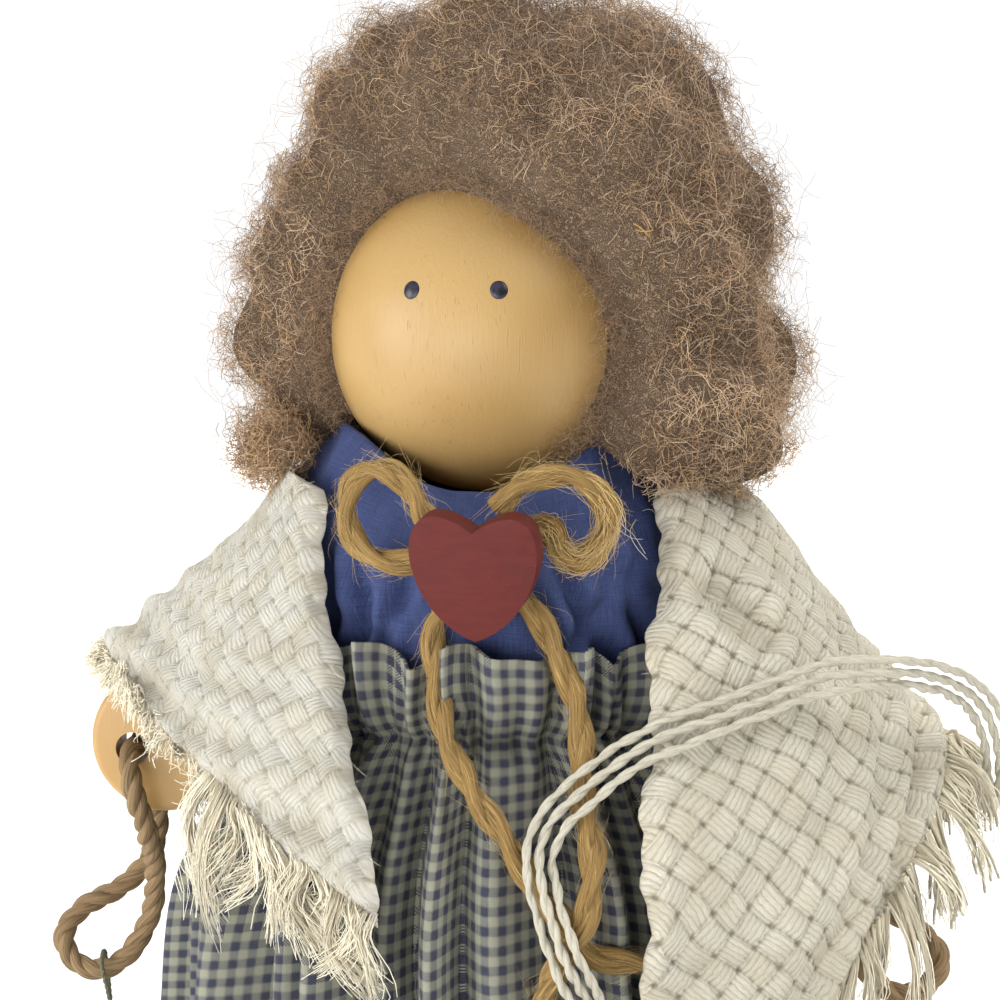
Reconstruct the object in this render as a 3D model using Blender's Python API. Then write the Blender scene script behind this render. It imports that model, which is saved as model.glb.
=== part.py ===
"""Standing wooden doll in country dress: turned body, ball head, pinned paddle arms, cloth and cord clothing.

Metres, +Z up. The doll stands on z = 0 and looks towards -Y, so its right hand is at -X.
"""
import math

import bmesh
import bpy
from mathutils import Matrix, Vector
from mathutils.bvhtree import BVHTree

GAP = 0.0004

HEAD_RADIUS = 0.031
HEAD_Z = 0.222
HEAD_FLAT_Z = 0.1915
FACE_TURN = math.radians(-8)

TORSO_TOP_Z = 0.191
TORSO_TOP_RADIUS = 0.016
CHEST_RADIUS = 0.035
CHEST_TOP_Z = 0.178
WAIST_RADIUS = 0.033
BASE_RADIUS = 0.038

DOWEL_RADIUS = 0.00475
DOWEL_LOW_Z = 0.172
DOWEL_HIGH_Z = 0.214

ARM_THICKNESS = 0.0095
ARM_Y = 0.004
SHOULDER_X = 0.0295
SHOULDER_Z = 0.177
SHOULDER_END_RADIUS = 0.0075
HAND_X = 0.066
HAND_Z = 0.139
HAND_RADIUS = 0.0145
HAND_HOLE_X = 0.072
HAND_HOLE_Z = 0.1375
HAND_HOLE_RADIUS = 0.0034
PIN_RADIUS = 0.0024
PIN_HALF_LENGTH = 0.0155

SHOE_LENGTH = 0.046
SHOE_WIDTH = 0.027
SHOE_HEIGHT = 0.018
SHOE_X = 0.0165
SHOE_Y = -0.041

SKIRT_FOLDS = 15
SKIRT_COLUMNS = 60
CLOTH_THICKNESS = 0.0014
GATHER_Z = 0.153
UNDERARM_ANGLE = math.radians(95)
UNDERARM_SPREAD = math.radians(30)
UNDERARM_DIP = 0.009
# Height, radius and fold depth of the skirt from the top of its ruffle to its hem
SKIRT_ROWS = [
    (0.167, 0.0435, 0.0018),
    (0.160, 0.0420, 0.0014),
    (0.153, 0.0405, 0.0005),
    (0.145, 0.0450, 0.0018),
    (0.137, 0.0520, 0.0026),
    (0.128, 0.0600, 0.0033),
    (0.114, 0.0630, 0.0036),
    (0.070, 0.0650, 0.0042),
    (0.020, 0.0675, 0.0050),
]

BLOUSE_COLUMNS = 48
BLOUSE_FOLDS = 12
COLLAR_LIFT = 0.010
# Radius, height, fold depth and share of the collar lift, round the blouse's section from its tucked hem
BLOUSE_SECTION = [
    (0.0372, 0.143, 0.0, 0.0),
    (0.0374, 0.153, 0.0, 0.0),
    (0.0384, 0.161, 0.0004, 0.0),
    (0.0391, 0.168, 0.0006, 0.0),
    (0.0401, 0.177, 0.0006, 0.0),
    (0.0388, 0.184, 0.0005, 0.1),
    (0.0350, 0.1885, 0.0003, 0.5),
    (0.0310, 0.1920, 0.0, 0.9),
    (0.0285, 0.1935, 0.0, 1.0),
    (0.0262, 0.1925, 0.0, 1.0),
    (0.0200, 0.1917, 0.0, 0.0),
    (0.0266, 0.1897, 0.0, 0.0),
    (0.0330, 0.1849, 0.0, 0.0),
    (0.0354, 0.1782, 0.0, 0.0),
    (0.0354, 0.143, 0.0, 0.0),
]

HAIR_INNER_RADIUS = 0.0320
HAIR_FACE_ANGLE = math.radians(63)
HAIR_RINGS = 12
HAIR_COLUMNS = 26
HAIR_BACK_RADIUS = 0.0555
# Reach of the wool from the middle of the head as seen from the front, every 20 degrees from the doll's left over the top
HAIR_REACH = [0.0555, 0.0580, 0.0610, 0.0675, 0.0652, 0.0640, 0.0605, 0.0535, 0.0492, 0.0500, 0.0458, 0.0470, 0.0460,
              0.0460, 0.0480, 0.0510, 0.0540, 0.0605]

SHAWL_THICKNESS = 0.0022
SHAWL_COLUMNS = 32
SHAWL_ROWS = 10
FRINGE_LENGTH = 0.016
FRINGE_ROWS = 3
FRINGE_SIDE = 0.0915
# Ribs of the shawl from its neck fold to its frayed edge: right front edge, right arm, back, left arm, left front edge
SHAWL_RIBS = [
    [(-0.0287, -0.0250, 0.1945), (-0.0270, -0.0345, 0.1820), (-0.0238, -0.0425, 0.1650), (-0.0183, -0.0545, 0.1465),
     (-0.0128, -0.0672, 0.1240)],
    [(-0.0355, -0.0130, 0.1950), (-0.0420, -0.0215, 0.1820), (-0.0465, -0.0300, 0.1690), (-0.0480, -0.0370, 0.1560),
     (-0.0460, -0.0430, 0.1425)],
    [(-0.0380, 0.0030, 0.1930), (-0.0452, 0.0020, 0.1838), (-0.0555, 0.0010, 0.1748), (-0.0660, 0.0000, 0.1660),
     (-0.0762, -0.0020, 0.1575)],
    [(-0.0300, 0.0245, 0.1955), (-0.0420, 0.0335, 0.1760), (-0.0515, 0.0420, 0.1570), (-0.0560, 0.0490, 0.1400),
     (-0.0540, 0.0540, 0.1240)],
    [(0.0000, 0.0385, 0.1960), (0.0000, 0.0480, 0.1730), (0.0000, 0.0640, 0.1450), (0.0000, 0.0730, 0.1240),
     (0.0000, 0.0745, 0.1000)],
    [(0.0315, 0.0245, 0.1955), (0.0450, 0.0335, 0.1770), (0.0550, 0.0425, 0.1570), (0.0600, 0.0500, 0.1380),
     (0.0600, 0.0550, 0.1180)],
    [(0.0395, 0.0030, 0.1940), (0.0510, 0.0010, 0.1880), (0.0635, -0.0020, 0.1715), (0.0770, -0.0060, 0.1552),
     (0.0890, -0.0110, 0.1430)],
    [(0.0385, -0.0080, 0.1950), (0.0500, -0.0250, 0.1790), (0.0595, -0.0380, 0.1580), (0.0653, -0.0474, 0.1320),
     (0.0618, -0.0524, 0.1025)],
    [(0.0335, -0.0170, 0.1945), (0.0335, -0.0325, 0.1800), (0.0330, -0.0460, 0.1600), (0.0326, -0.0645, 0.1280),
     (0.0340, -0.0670, 0.0680)],
]

JUTE_RADIUS = 0.0024
KNOT_CENTRE = (0.002, -0.0450, 0.187)
KNOT_RADII = (0.006, 0.003, 0.005)
BOW_LOOP_RIGHT = [
    (-0.0060, -0.0446, 0.1905), (-0.0111, -0.0430, 0.1985), (-0.0164, -0.0410, 0.2010), (-0.0209, -0.0396, 0.1983),
    (-0.0222, -0.0396, 0.1929), (-0.0202, -0.0412, 0.1873), (-0.0147, -0.0438, 0.1846), (-0.0078, -0.0444, 0.1848),
]
BOW_LOOP_LEFT = [
    (0.0055, -0.0460, 0.1945), (0.0100, -0.0455, 0.1992), (0.0156, -0.0448, 0.2006), (0.0218, -0.0432, 0.1986),
    (0.0248, -0.0420, 0.1938), (0.0240, -0.0422, 0.1887), (0.0204, -0.0428, 0.1852), (0.0165, -0.0430, 0.1868),
    (0.0150, -0.0426, 0.1905), (0.0112, -0.0426, 0.1908),
]
# Tails and yarn lie on what is behind them, so their routes are given as seen from the front: across and up
TAIL_RIGHT = [
    (-0.0015, 0.1800), (-0.0051, 0.1766), (-0.0057, 0.1718), (-0.0055, 0.1634), (-0.0034, 0.1540), (0.0016, 0.1463),
    (0.0074, 0.1383), (0.0130, 0.1308), (0.0180, 0.1250), (0.0252, 0.1184), (0.0340, 0.1180), (0.0400, 0.1165),
]
TAIL_LEFT = [
    (0.0060, 0.1805), (0.0105, 0.1777), (0.0148, 0.1704), (0.0186, 0.1621), (0.0208, 0.1532), (0.0210, 0.1456),
    (0.0236, 0.1367), (0.0225, 0.1269), (0.0186, 0.1200), (0.0158, 0.1131), (0.0150, 0.1050), (0.0165, 0.0980),
]

YARN_RADIUS = 0.00095
YARN_COUNT = 3
YARN_ROUTE = [
    (0.0650, 0.1647), (0.0590, 0.1632), (0.0503, 0.1607), (0.0417, 0.1580), (0.0332, 0.1553), (0.0263, 0.1507),
    (0.0203, 0.1461), (0.0164, 0.1421), (0.0145, 0.1382), (0.0147, 0.1335), (0.0166, 0.1283), (0.0188, 0.1228),
    (0.0211, 0.1170), (0.0229, 0.1120), (0.0238, 0.1060), (0.0240, 0.1000),
]
YARN_HANGING = [
    (0.0985, -0.0080, 0.1320), (0.0980, -0.0120, 0.1440), (0.0940, -0.0190, 0.1540), (0.0865, -0.0300, 0.1615),
    (0.0760, -0.0400, 0.1652),
]

HEART_WIDTH = 0.023
HEART_THICKNESS = 0.005
HEART_PLACE = (0.0024, -0.0514, 0.1836)
HEART_TURN = math.radians(-9)
HEART_LEAN = math.radians(7)

HAND_CORD_RADIUS = 0.0023
# Right hand cord, from the front of the hand's hole round its loop and up to the back of the hole
HAND_CORD = [
    (-0.0720, 0.0020, 0.1375), (-0.0719, -0.0040, 0.1360), (-0.0705, -0.0062, 0.1300), (-0.0690, -0.0030, 0.1215),
    (-0.0695, 0.0060, 0.1110), (-0.0715, 0.0100, 0.1000), (-0.0755, 0.0100, 0.0920), (-0.0815, 0.0095, 0.0875),
    (-0.0875, 0.0100, 0.0885), (-0.0905, 0.0115, 0.0940), (-0.0870, 0.0140, 0.0990), (-0.0795, 0.0170, 0.1030),
    (-0.0735, 0.0190, 0.1090), (-0.0715, 0.0190, 0.1200), (-0.0720, 0.0165, 0.1310), (-0.0720, 0.0125, 0.1368),
    (-0.0720, 0.0062, 0.1375),
]
THREAD_RADIUS = 0.00055
THREAD_ROUTE = [
    (-0.0790, 0.0060, 0.0790), (-0.0800, 0.0058, 0.0840), (-0.0812, 0.0062, 0.0892), (-0.0815, 0.0085, 0.0913),
    (-0.0820, 0.0122, 0.0900), (-0.0818, 0.0128, 0.0860), (-0.0810, 0.0110, 0.0830), (-0.0800, 0.0090, 0.0760),
    (-0.0795, 0.0085, 0.0660),
]


def material(name, colour, roughness):
    mat = bpy.data.materials.new(name)
    mat.use_nodes = True
    mat.diffuse_color = (*colour, 1)
    shader = mat.node_tree.nodes["Principled BSDF"]
    shader.inputs["Base Color"].default_value = (*colour, 1)
    shader.inputs["Roughness"].default_value = roughness
    return mat


def add_object(name, data, colour, roughness, place=(0, 0, 0)):
    obj = bpy.data.objects.new(name, data)
    obj.location = place
    data.materials.append(material(name, colour, roughness))
    bpy.context.scene.collection.objects.link(obj)
    return obj


def add_mesh(name, bm, colour, roughness, place=(0, 0, 0)):
    mesh = bpy.data.meshes.new(name)
    bm.to_mesh(mesh)
    bm.free()
    return add_object(name, mesh, colour, roughness, place)


def cut(obj, bm, name):
    """Take a hidden cutter, given in world places, out of an object."""
    mesh = bpy.data.meshes.new(name)
    bm.to_mesh(mesh)
    bm.free()
    cutter = bpy.data.objects.new(name, mesh)
    cutter.hide_render = True
    cutter.display_type = "WIRE"
    bpy.context.scene.collection.objects.link(cutter)
    boolean = obj.modifiers.new(name, "BOOLEAN")
    boolean.operation = "DIFFERENCE"
    boolean.solver = "EXACT"
    boolean.object = cutter


def box(low, high):
    bm = bmesh.new()
    low = Vector(low)
    high = Vector(high)
    size = Matrix.Diagonal((*(high - low), 1))
    bmesh.ops.create_cube(bm, size=1, matrix=Matrix.Translation((low + high) / 2) @ size)
    return bm


def rod(radius, start, end, sides=16):
    bm = bmesh.new()
    start = Vector(start)
    end = Vector(end)
    along = end - start
    turn = along.to_track_quat("Z", "Y").to_matrix().to_4x4()
    bmesh.ops.create_cone(
        bm, cap_ends=True, segments=sides, radius1=radius, radius2=radius, depth=along.length,
        matrix=Matrix.Translation((start + end) / 2) @ turn)
    return bm


def lathe(profile, steps):
    """Turned solid: the profile runs down from the axis at its top to the axis at its bottom."""
    bm = bmesh.new()
    verts = [bm.verts.new((radius, 0, height)) for radius, height in profile]
    edges = [bm.edges.new(pair) for pair in zip(verts, verts[1:])]
    bmesh.ops.spin(bm, geom=verts + edges, cent=(0, 0, 0), axis=(0, 0, 1), angle=2 * math.pi, steps=steps)
    bmesh.ops.remove_doubles(bm, verts=bm.verts, dist=1e-6)
    bmesh.ops.recalc_face_normals(bm, faces=bm.faces)
    return bm


def plate(outline, thickness):
    """Flat plate standing in the XZ plane, with its outline given as (x, z) and its middle at y = 0."""
    bm = bmesh.new()
    face = bm.faces.new([bm.verts.new((x, -thickness / 2, z)) for x, z in outline])
    grown = bmesh.ops.extrude_face_region(bm, geom=[face])
    moved = [item for item in grown["geom"] if isinstance(item, bmesh.types.BMVert)]
    bmesh.ops.translate(bm, verts=moved, vec=(0, thickness, 0))
    bmesh.ops.recalc_face_normals(bm, faces=bm.faces)
    return bm


def grid(rows, closed):
    """Sheet of quads through rows of points, facing out when rows run down and columns run anticlockwise."""
    bm = bmesh.new()
    verts = [[bm.verts.new(point) for point in row] for row in rows]
    columns = len(rows[0])
    for above, below in zip(verts, verts[1:]):
        for j in range(columns if closed else columns - 1):
            k = (j + 1) % columns
            bm.faces.new((above[j], below[j], below[k], above[k]))
    return bm


def thicken(obj, thickness, side):
    solid = obj.modifiers.new("thickness", "SOLIDIFY")
    solid.thickness = thickness
    solid.offset = side


def soften(obj, width):
    bevel = obj.modifiers.new("rounded edge", "BEVEL")
    bevel.width = width
    bevel.segments = 2
    bevel.limit_method = "ANGLE"
    bevel.angle_limit = math.radians(50)


def around(angle, radius, height):
    """Point at an angle from the front, anticlockwise from above."""
    return Vector((radius * math.sin(angle), -radius * math.cos(angle), height))


def spline(points, t):
    """Smooth curve through points, with t running from 0 to one less than their count."""
    points = [Vector(point) for point in points]
    i = min(int(t), len(points) - 2)
    f = t - i
    p1 = points[i]
    p2 = points[i + 1]
    p0 = points[i - 1] if i > 0 else 2 * p1 - p2
    p3 = points[i + 2] if i + 2 < len(points) else 2 * p2 - p1
    return 0.5 * (2 * p1 + (p2 - p0) * f + (2 * p0 - 5 * p1 + 4 * p2 - p3) * f ** 2
                  + (3 * p1 - p0 - 3 * p2 + p3) * f ** 3)


def evenly(points, spacing):
    """Points along a smooth curve, all the same distance apart."""
    fine = [spline(points, i / 20) for i in range(20 * (len(points) - 1) + 1)]
    length = sum((b - a).length for a, b in zip(fine, fine[1:]))
    count = max(2, round(length / spacing))
    spaced = [fine[0]]
    travelled = 0.0
    for a, b in zip(fine, fine[1:]):
        travelled += (b - a).length
        if travelled >= len(spaced) * length / count - 1e-9 and len(spaced) < count:
            spaced.append(b)
    return spaced + [fine[-1]]


def cord(name, points, radius, colour, sides_step=2):
    curve = bpy.data.curves.new(name, "CURVE")
    curve.dimensions = "3D"
    curve.bevel_depth = radius
    curve.bevel_resolution = sides_step
    curve.use_fill_caps = True
    line = curve.splines.new("POLY")
    line.points.add(len(points) - 1)
    for place, point in zip(line.points, points):
        place.co = (*point, 1)
    return add_object(name, curve, colour, 0.9)


def surface(obj):
    """Faces of a finished object, for laying cords on."""
    graph = bpy.context.evaluated_depsgraph_get()
    mesh = obj.evaluated_get(graph).to_mesh()
    verts = [obj.matrix_world @ v.co for v in mesh.vertices]
    return BVHTree.FromPolygons(verts, [tuple(p.vertices) for p in mesh.polygons])


def laid(route, radius, under, reach):
    """Points on a route seen from the front, brought to rest on the front of the objects under it."""
    faces = [surface(obj) for obj in under]
    flat = evenly([(x, 0, z) for x, z in route], radius)
    front = []
    for point in flat:
        depths = []
        for dx in (-radius, 0, radius):
            for dz in (-radius, 0, radius):
                eye = Vector((point.x + dx, -0.2, point.z + dz))
                hits = [tree.ray_cast(eye, Vector((0, 1, 0)))[0] for tree in faces]
                depths += [hit.y for hit in hits if hit]
        front.append(min(depths) - radius - GAP)
    bridged = [min(front[max(0, i - reach):i + reach + 1]) for i in range(len(front))]
    eased = []
    for i in range(len(bridged)):
        near = bridged[max(0, i - reach):i + reach + 1]
        eased.append(sum(near) / len(near))
    return [Vector((p.x, min(e, b), p.z)) for p, e, b in zip(flat, eased, front)]


def make_torso():
    shoulder = []
    for degrees in (90, 60, 30, 0):
        turn = math.radians(degrees)
        shoulder.append((TORSO_TOP_RADIUS + (CHEST_RADIUS - TORSO_TOP_RADIUS) * math.cos(turn),
                         CHEST_TOP_Z + (TORSO_TOP_Z - CHEST_TOP_Z) * math.sin(turn)))
    profile = [(0, TORSO_TOP_Z)] + shoulder + [
        (CHEST_RADIUS, 0.150), (WAIST_RADIUS, 0.115), (BASE_RADIUS - 0.002, 0.040), (BASE_RADIUS, 0.014),
        (BASE_RADIUS, 0.0015), (BASE_RADIUS - 0.0015, 0), (0, 0)]
    torso = add_mesh("torso", lathe(profile, 36), (0.60, 0.42, 0.20), 0.5)
    cut(torso, rod(DOWEL_RADIUS + GAP, (0, 0, DOWEL_LOW_Z - GAP), (0, 0, 0.2), 20), "cut_neck_hole")
    half = ARM_THICKNESS / 2 + GAP
    for side, word in ((-1, "right"), (1, "left")):
        edges = sorted((side * 0.0205, side * 0.060))
        cut(torso, box((edges[0], ARM_Y - half, 0.154), (edges[1], ARM_Y + half, 0.205)), "cut_slot_" + word)
        cut(torso, rod(PIN_RADIUS + GAP, (side * SHOULDER_X, ARM_Y - PIN_HALF_LENGTH - GAP, SHOULDER_Z),
                       (side * SHOULDER_X, ARM_Y + 0.03, SHOULDER_Z)), "cut_pin_hole_" + word)
    return torso


def make_arm(side, word):
    across = side * (HAND_X - SHOULDER_X)
    down = HAND_Z - SHOULDER_Z
    heading = math.atan2(down, across)
    spread = math.acos((SHOULDER_END_RADIUS - HAND_RADIUS) / math.hypot(across, down))
    outline = []
    for centre, radius, start, end, steps in (
            ((across, down), HAND_RADIUS, heading - spread, heading + spread, 14),
            ((0, 0), SHOULDER_END_RADIUS, heading + spread, heading + 2 * math.pi - spread, 8)):
        for i in range(steps + 1):
            turn = start + (end - start) * i / steps
            outline.append((centre[0] + radius * math.cos(turn), centre[1] + radius * math.sin(turn)))
    arm = add_mesh("arm_" + word, plate(outline, ARM_THICKNESS), (0.60, 0.42, 0.20), 0.5,
                   (side * SHOULDER_X, ARM_Y, SHOULDER_Z))
    soften(arm, 0.0012)
    for x, z, radius, part in ((SHOULDER_X, SHOULDER_Z, PIN_RADIUS + GAP, "pivot"),
                               (HAND_HOLE_X, HAND_HOLE_Z, HAND_HOLE_RADIUS, "hand_hole")):
        cut(arm, rod(radius, (side * x, ARM_Y - 0.02, z), (side * x, ARM_Y + 0.02, z)), "cut_" + part + "_" + word)
    pin = rod(PIN_RADIUS, (side * SHOULDER_X, ARM_Y - PIN_HALF_LENGTH, SHOULDER_Z),
              (side * SHOULDER_X, ARM_Y + 0.0092, SHOULDER_Z))
    add_mesh("shoulder_pin_" + word, pin, (0.55, 0.38, 0.20), 0.6)
    return arm


def make_head():
    bm = bmesh.new()
    bmesh.ops.create_uvsphere(bm, u_segments=32, v_segments=16, radius=HEAD_RADIUS)
    flat = HEAD_FLAT_Z - HEAD_Z
    cut_bottom = bmesh.ops.bisect_plane(
        bm, geom=bm.verts[:] + bm.edges[:] + bm.faces[:], plane_co=(0, 0, flat), plane_no=(0, 0, -1), clear_outer=True)
    rim = [item for item in cut_bottom["geom_cut"] if isinstance(item, bmesh.types.BMEdge)]
    bmesh.ops.holes_fill(bm, edges=rim)
    bmesh.ops.recalc_face_normals(bm, faces=bm.faces)
    head = add_mesh("head", bm, (0.80, 0.60, 0.32), 0.4, (0, 0, HEAD_Z))
    head.rotation_euler = (0, 0, FACE_TURN)
    cut(head, rod(DOWEL_RADIUS + GAP, (0, 0, 0.180), (0, 0, DOWEL_HIGH_Z + GAP), 20), "cut_head_hole")
    add_mesh("neck_dowel", rod(DOWEL_RADIUS, (0, 0, DOWEL_LOW_Z), (0, 0, DOWEL_HIGH_Z), 20), (0.55, 0.38, 0.20), 0.6)


def hair_depth(way):
    """Distance from the middle of the head to the outside of the wool in a direction."""
    turn = math.degrees(math.atan2(way.z, way.x)) % 360 / 20
    step = int(turn)
    share = turn - step
    share = share * share * (3 - 2 * share)
    rim = HAIR_REACH[step % 18] * (1 - share) + HAIR_REACH[(step + 1) % 18] * share
    radius = HAIR_BACK_RADIUS + (rim - HAIR_BACK_RADIUS) * (way.x * way.x + way.z * way.z)
    radius += 0.0016 * math.sin(9 * way.x + 2) * math.cos(8 * way.z - 1)
    radius += 0.0014 * math.sin(11 * way.y + 5 * way.z)
    return radius


def make_hair():
    """Wool wig: an outside and an inside skin that meet round the face."""
    turn = Matrix.Rotation(FACE_TURN, 3, "Z")
    bm = bmesh.new()
    rings = []
    for skin in ("inside", "outside"):
        order = range(HAIR_RINGS, 0, -1) if skin == "inside" else range(1, HAIR_RINGS + 1)
        for i in order:
            tilt = math.pi - (math.pi - HAIR_FACE_ANGLE) * i / HAIR_RINGS
            if skin == "outside":
                tilt += math.radians(4) * i / HAIR_RINGS
            ring = []
            for j in range(HAIR_COLUMNS):
                roll = 2 * math.pi * j / HAIR_COLUMNS
                way = turn @ Vector((math.sin(tilt) * math.cos(roll), -math.cos(tilt), math.sin(tilt) * math.sin(roll)))
                radius = HAIR_INNER_RADIUS if skin == "inside" else hair_depth(way)
                if skin == "outside" and i == HAIR_RINGS:
                    radius = 0.7 * radius + 0.3 * HAIR_INNER_RADIUS
                ring.append(bm.verts.new(way * radius))
            rings.append(ring)
    rings = rings[HAIR_RINGS - 1::-1] + rings[:HAIR_RINGS - 1:-1]
    for one, two in zip(rings, rings[1:]):
        for j in range(HAIR_COLUMNS):
            k = (j + 1) % HAIR_COLUMNS
            bm.faces.new((one[j], one[k], two[k], two[j]))
    back = turn @ Vector((0, 1, 0))
    for ring, radius in ((rings[0], HAIR_INNER_RADIUS), (rings[-1], hair_depth(back))):
        pole = bm.verts.new(back * radius)
        for j in range(HAIR_COLUMNS):
            bm.faces.new((ring[j], ring[(j + 1) % HAIR_COLUMNS], pole))
    bmesh.ops.recalc_face_normals(bm, faces=bm.faces)
    hair = add_mesh("hair", bm, (0.16, 0.11, 0.08), 0.95, (0, 0, HEAD_Z))
    neck = [(0, 0.2055), (0.0335, 0.2055), (0.038, 0.1995), (0.052, 0.1930), (0.070, 0.1830), (0.090, 0.150), (0, 0.150)]
    cut(hair, lathe(neck, 40), "cut_hair_shoulders")
    return hair


def skirt_point(angle, row):
    height, radius, fold = SKIRT_ROWS[row]
    away = (abs(angle) - UNDERARM_ANGLE) / UNDERARM_SPREAD
    underarm = math.exp(-away * away)
    if height > GATHER_Z:
        height = GATHER_Z + (height - GATHER_Z) * (1 - 0.95 * underarm)
        radius -= 0.002 * underarm
        fold *= 1 - 0.7 * underarm
    height -= UNDERARM_DIP * underarm * min(1, max(0, (height - 0.060) / 0.052))
    drift = 0.15 * math.sin(3 * angle + 20 * height)
    wave = math.cos(SKIRT_FOLDS * angle + drift)
    return around(angle, radius + fold * (wave + 0.35 * wave * wave - 0.35), height)


def make_skirt():
    rows = []
    for row in range(len(SKIRT_ROWS)):
        angles = [2 * math.pi * (j - SKIRT_COLUMNS / 2) / SKIRT_COLUMNS for j in range(SKIRT_COLUMNS)]
        rows.append([skirt_point(angle, row) for angle in angles])
    skirt = add_mesh("skirt", grid(rows, True), (0.16, 0.17, 0.20), 0.9)
    thicken(skirt, CLOTH_THICKNESS, -1)
    return skirt


def make_blouse():
    bm = bmesh.new()
    columns = []
    for j in range(BLOUSE_COLUMNS):
        angle = 2 * math.pi * (j - BLOUSE_COLUMNS / 2) / BLOUSE_COLUMNS
        share = min(1, max(0, (abs(angle) - math.radians(12)) / math.radians(55)))
        lift = COLLAR_LIFT * share * share * (3 - 2 * share)
        wave = math.cos(BLOUSE_FOLDS * angle)
        columns.append([bm.verts.new(around(angle, radius + fold * wave, height + lift * part))
                        for radius, height, fold, part in BLOUSE_SECTION])
    count = len(BLOUSE_SECTION)
    for j in range(BLOUSE_COLUMNS):
        one = columns[j]
        two = columns[(j + 1) % BLOUSE_COLUMNS]
        for i in range(count):
            k = (i + 1) % count
            bm.faces.new((one[i], two[i], two[k], one[k]))
    bmesh.ops.recalc_face_normals(bm, faces=bm.faces)
    blouse = add_mesh("blouse", bm, (0.05, 0.07, 0.19), 0.85)
    for side, word in ((-1, "right"), (1, "left")):
        edges = sorted((side * 0.015, side * 0.060))
        cut(blouse, box((edges[0], ARM_Y - 0.0075, 0.1475), (edges[1], ARM_Y + 0.0075, 0.1885)), "cut_armhole_" + word)
    return blouse


def shawl_point(across, along):
    """Point on the inside of the shawl: across runs over the ribs, along runs from the neck to the frayed edge."""
    places = [spline(rib, along * (len(rib) - 1)) for rib in SHAWL_RIBS]
    return spline(places, across * (len(SHAWL_RIBS) - 1))


def clear_of_body(point):
    """Move a point of the fringe off the yarn, the skirt and the hands."""
    point.x = min(point.x, FRINGE_SIDE)
    rows = [(height, radius + fold) for height, radius, fold in SKIRT_ROWS]
    for (high, one), (low, two) in zip(rows, rows[1:]):
        if low <= point.z <= high:
            reach = two + (one - two) * (point.z - low) / (high - low) + 0.0012
            grow = max(1, reach / math.hypot(point.x, point.y))
            point = Vector((point.x * grow, point.y * grow, point.z))
    hand = Vector((math.copysign(HAND_X, point.x), point.y, HAND_Z))
    away = point - hand
    if abs(point.y - ARM_Y) < 0.011 and away.length < HAND_RADIUS + 0.002:
        point = hand + away.normalized() * (HAND_RADIUS + 0.002)
    return point


def fringe_point(across, share):
    """Point on the inside of the loose threads, which bend down below the frayed edge."""
    edge = shawl_point(across, 1)
    way = (edge - shawl_point(across, 0.96)).normalized()
    length = FRINGE_LENGTH * min(1, 0.45 + 8 * across, 0.45 + 8 * (1 - across))
    drop = Vector((0, 0, -0.42 * length * share * share))
    return clear_of_body(edge + way * length * (share - 0.30 * share * share) + drop)


def make_shawl():
    rows = []
    for i in range(SHAWL_ROWS + 1):
        rows.append([shawl_point(1 - j / SHAWL_COLUMNS, i / SHAWL_ROWS) for j in range(SHAWL_COLUMNS + 1)])
    for i in range(1, FRINGE_ROWS + 1):
        rows.append([fringe_point(1 - j / SHAWL_COLUMNS, i / FRINGE_ROWS) for j in range(SHAWL_COLUMNS + 1)])
    shawl = add_mesh("shawl", grid(rows, False), (0.75, 0.72, 0.62), 0.95)
    thicken(shawl, SHAWL_THICKNESS, 1)
    return shawl


def make_heart():
    outline = []
    for i in range(28):
        t = 2 * math.pi * i / 28
        x = 16 * math.sin(t) * abs(math.sin(t))
        z = 1.25 * (13 * math.cos(t) - 3.5 * math.cos(2 * t) - 2 * math.cos(3 * t) + 1.9)
        outline.append((x * HEART_WIDTH / 32, z * HEART_WIDTH / 32))
    heart = add_mesh("heart", plate(outline, HEART_THICKNESS), (0.22, 0.06, 0.05), 0.5, HEART_PLACE)
    heart.rotation_euler = (HEART_LEAN, 0, HEART_TURN)
    soften(heart, 0.0006)


def make_bow(skirt, blouse):
    jute = (0.38, 0.24, 0.09)
    bm = bmesh.new()
    bmesh.ops.create_icosphere(bm, subdivisions=2, radius=1)
    bmesh.ops.scale(bm, verts=bm.verts, vec=KNOT_RADII)
    add_mesh("bow_knot", bm, jute, 0.9, KNOT_CENTRE)
    cord("bow_loop_right", evenly(BOW_LOOP_RIGHT, 1.6 * JUTE_RADIUS), JUTE_RADIUS, jute)
    cord("bow_loop_left", evenly(BOW_LOOP_LEFT, 1.6 * JUTE_RADIUS), JUTE_RADIUS, jute)
    right = laid(TAIL_RIGHT, JUTE_RADIUS, [skirt, blouse], 3)
    tail_right = cord("bow_tail_right", evenly(right[::2], 3 * JUTE_RADIUS), JUTE_RADIUS, jute)
    left = laid(TAIL_LEFT, JUTE_RADIUS, [skirt, blouse, tail_right], 3)
    tail_left = cord("bow_tail_left", evenly(left[::2], 3 * JUTE_RADIUS), JUTE_RADIUS, jute)
    return [tail_right, tail_left]


def make_yarn(under):
    seen = [(x, z) for x, y, z in YARN_HANGING] + YARN_ROUTE
    for strand in range(YARN_COUNT):
        shift = (strand - (YARN_COUNT - 1) / 2) * (2 * YARN_RADIUS + GAP)
        route = []
        for i, (x, z) in enumerate(seen):
            before = Vector(seen[max(0, i - 1)])
            after = Vector(seen[min(len(seen) - 1, i + 1)])
            way = (after - before).normalized()
            route.append((x - way.y * shift, z + way.x * shift))
        split = len(YARN_HANGING)
        hanging = [Vector((x, place[1], z)) for (x, z), place in zip(route, YARN_HANGING)]
        lying = laid(route[split:], YARN_RADIUS, under, 5)
        points = evenly(hanging + lying[::6], 6 * YARN_RADIUS)
        cord("yarn_" + str(strand + 1), points, YARN_RADIUS, (0.62, 0.60, 0.50))


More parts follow.
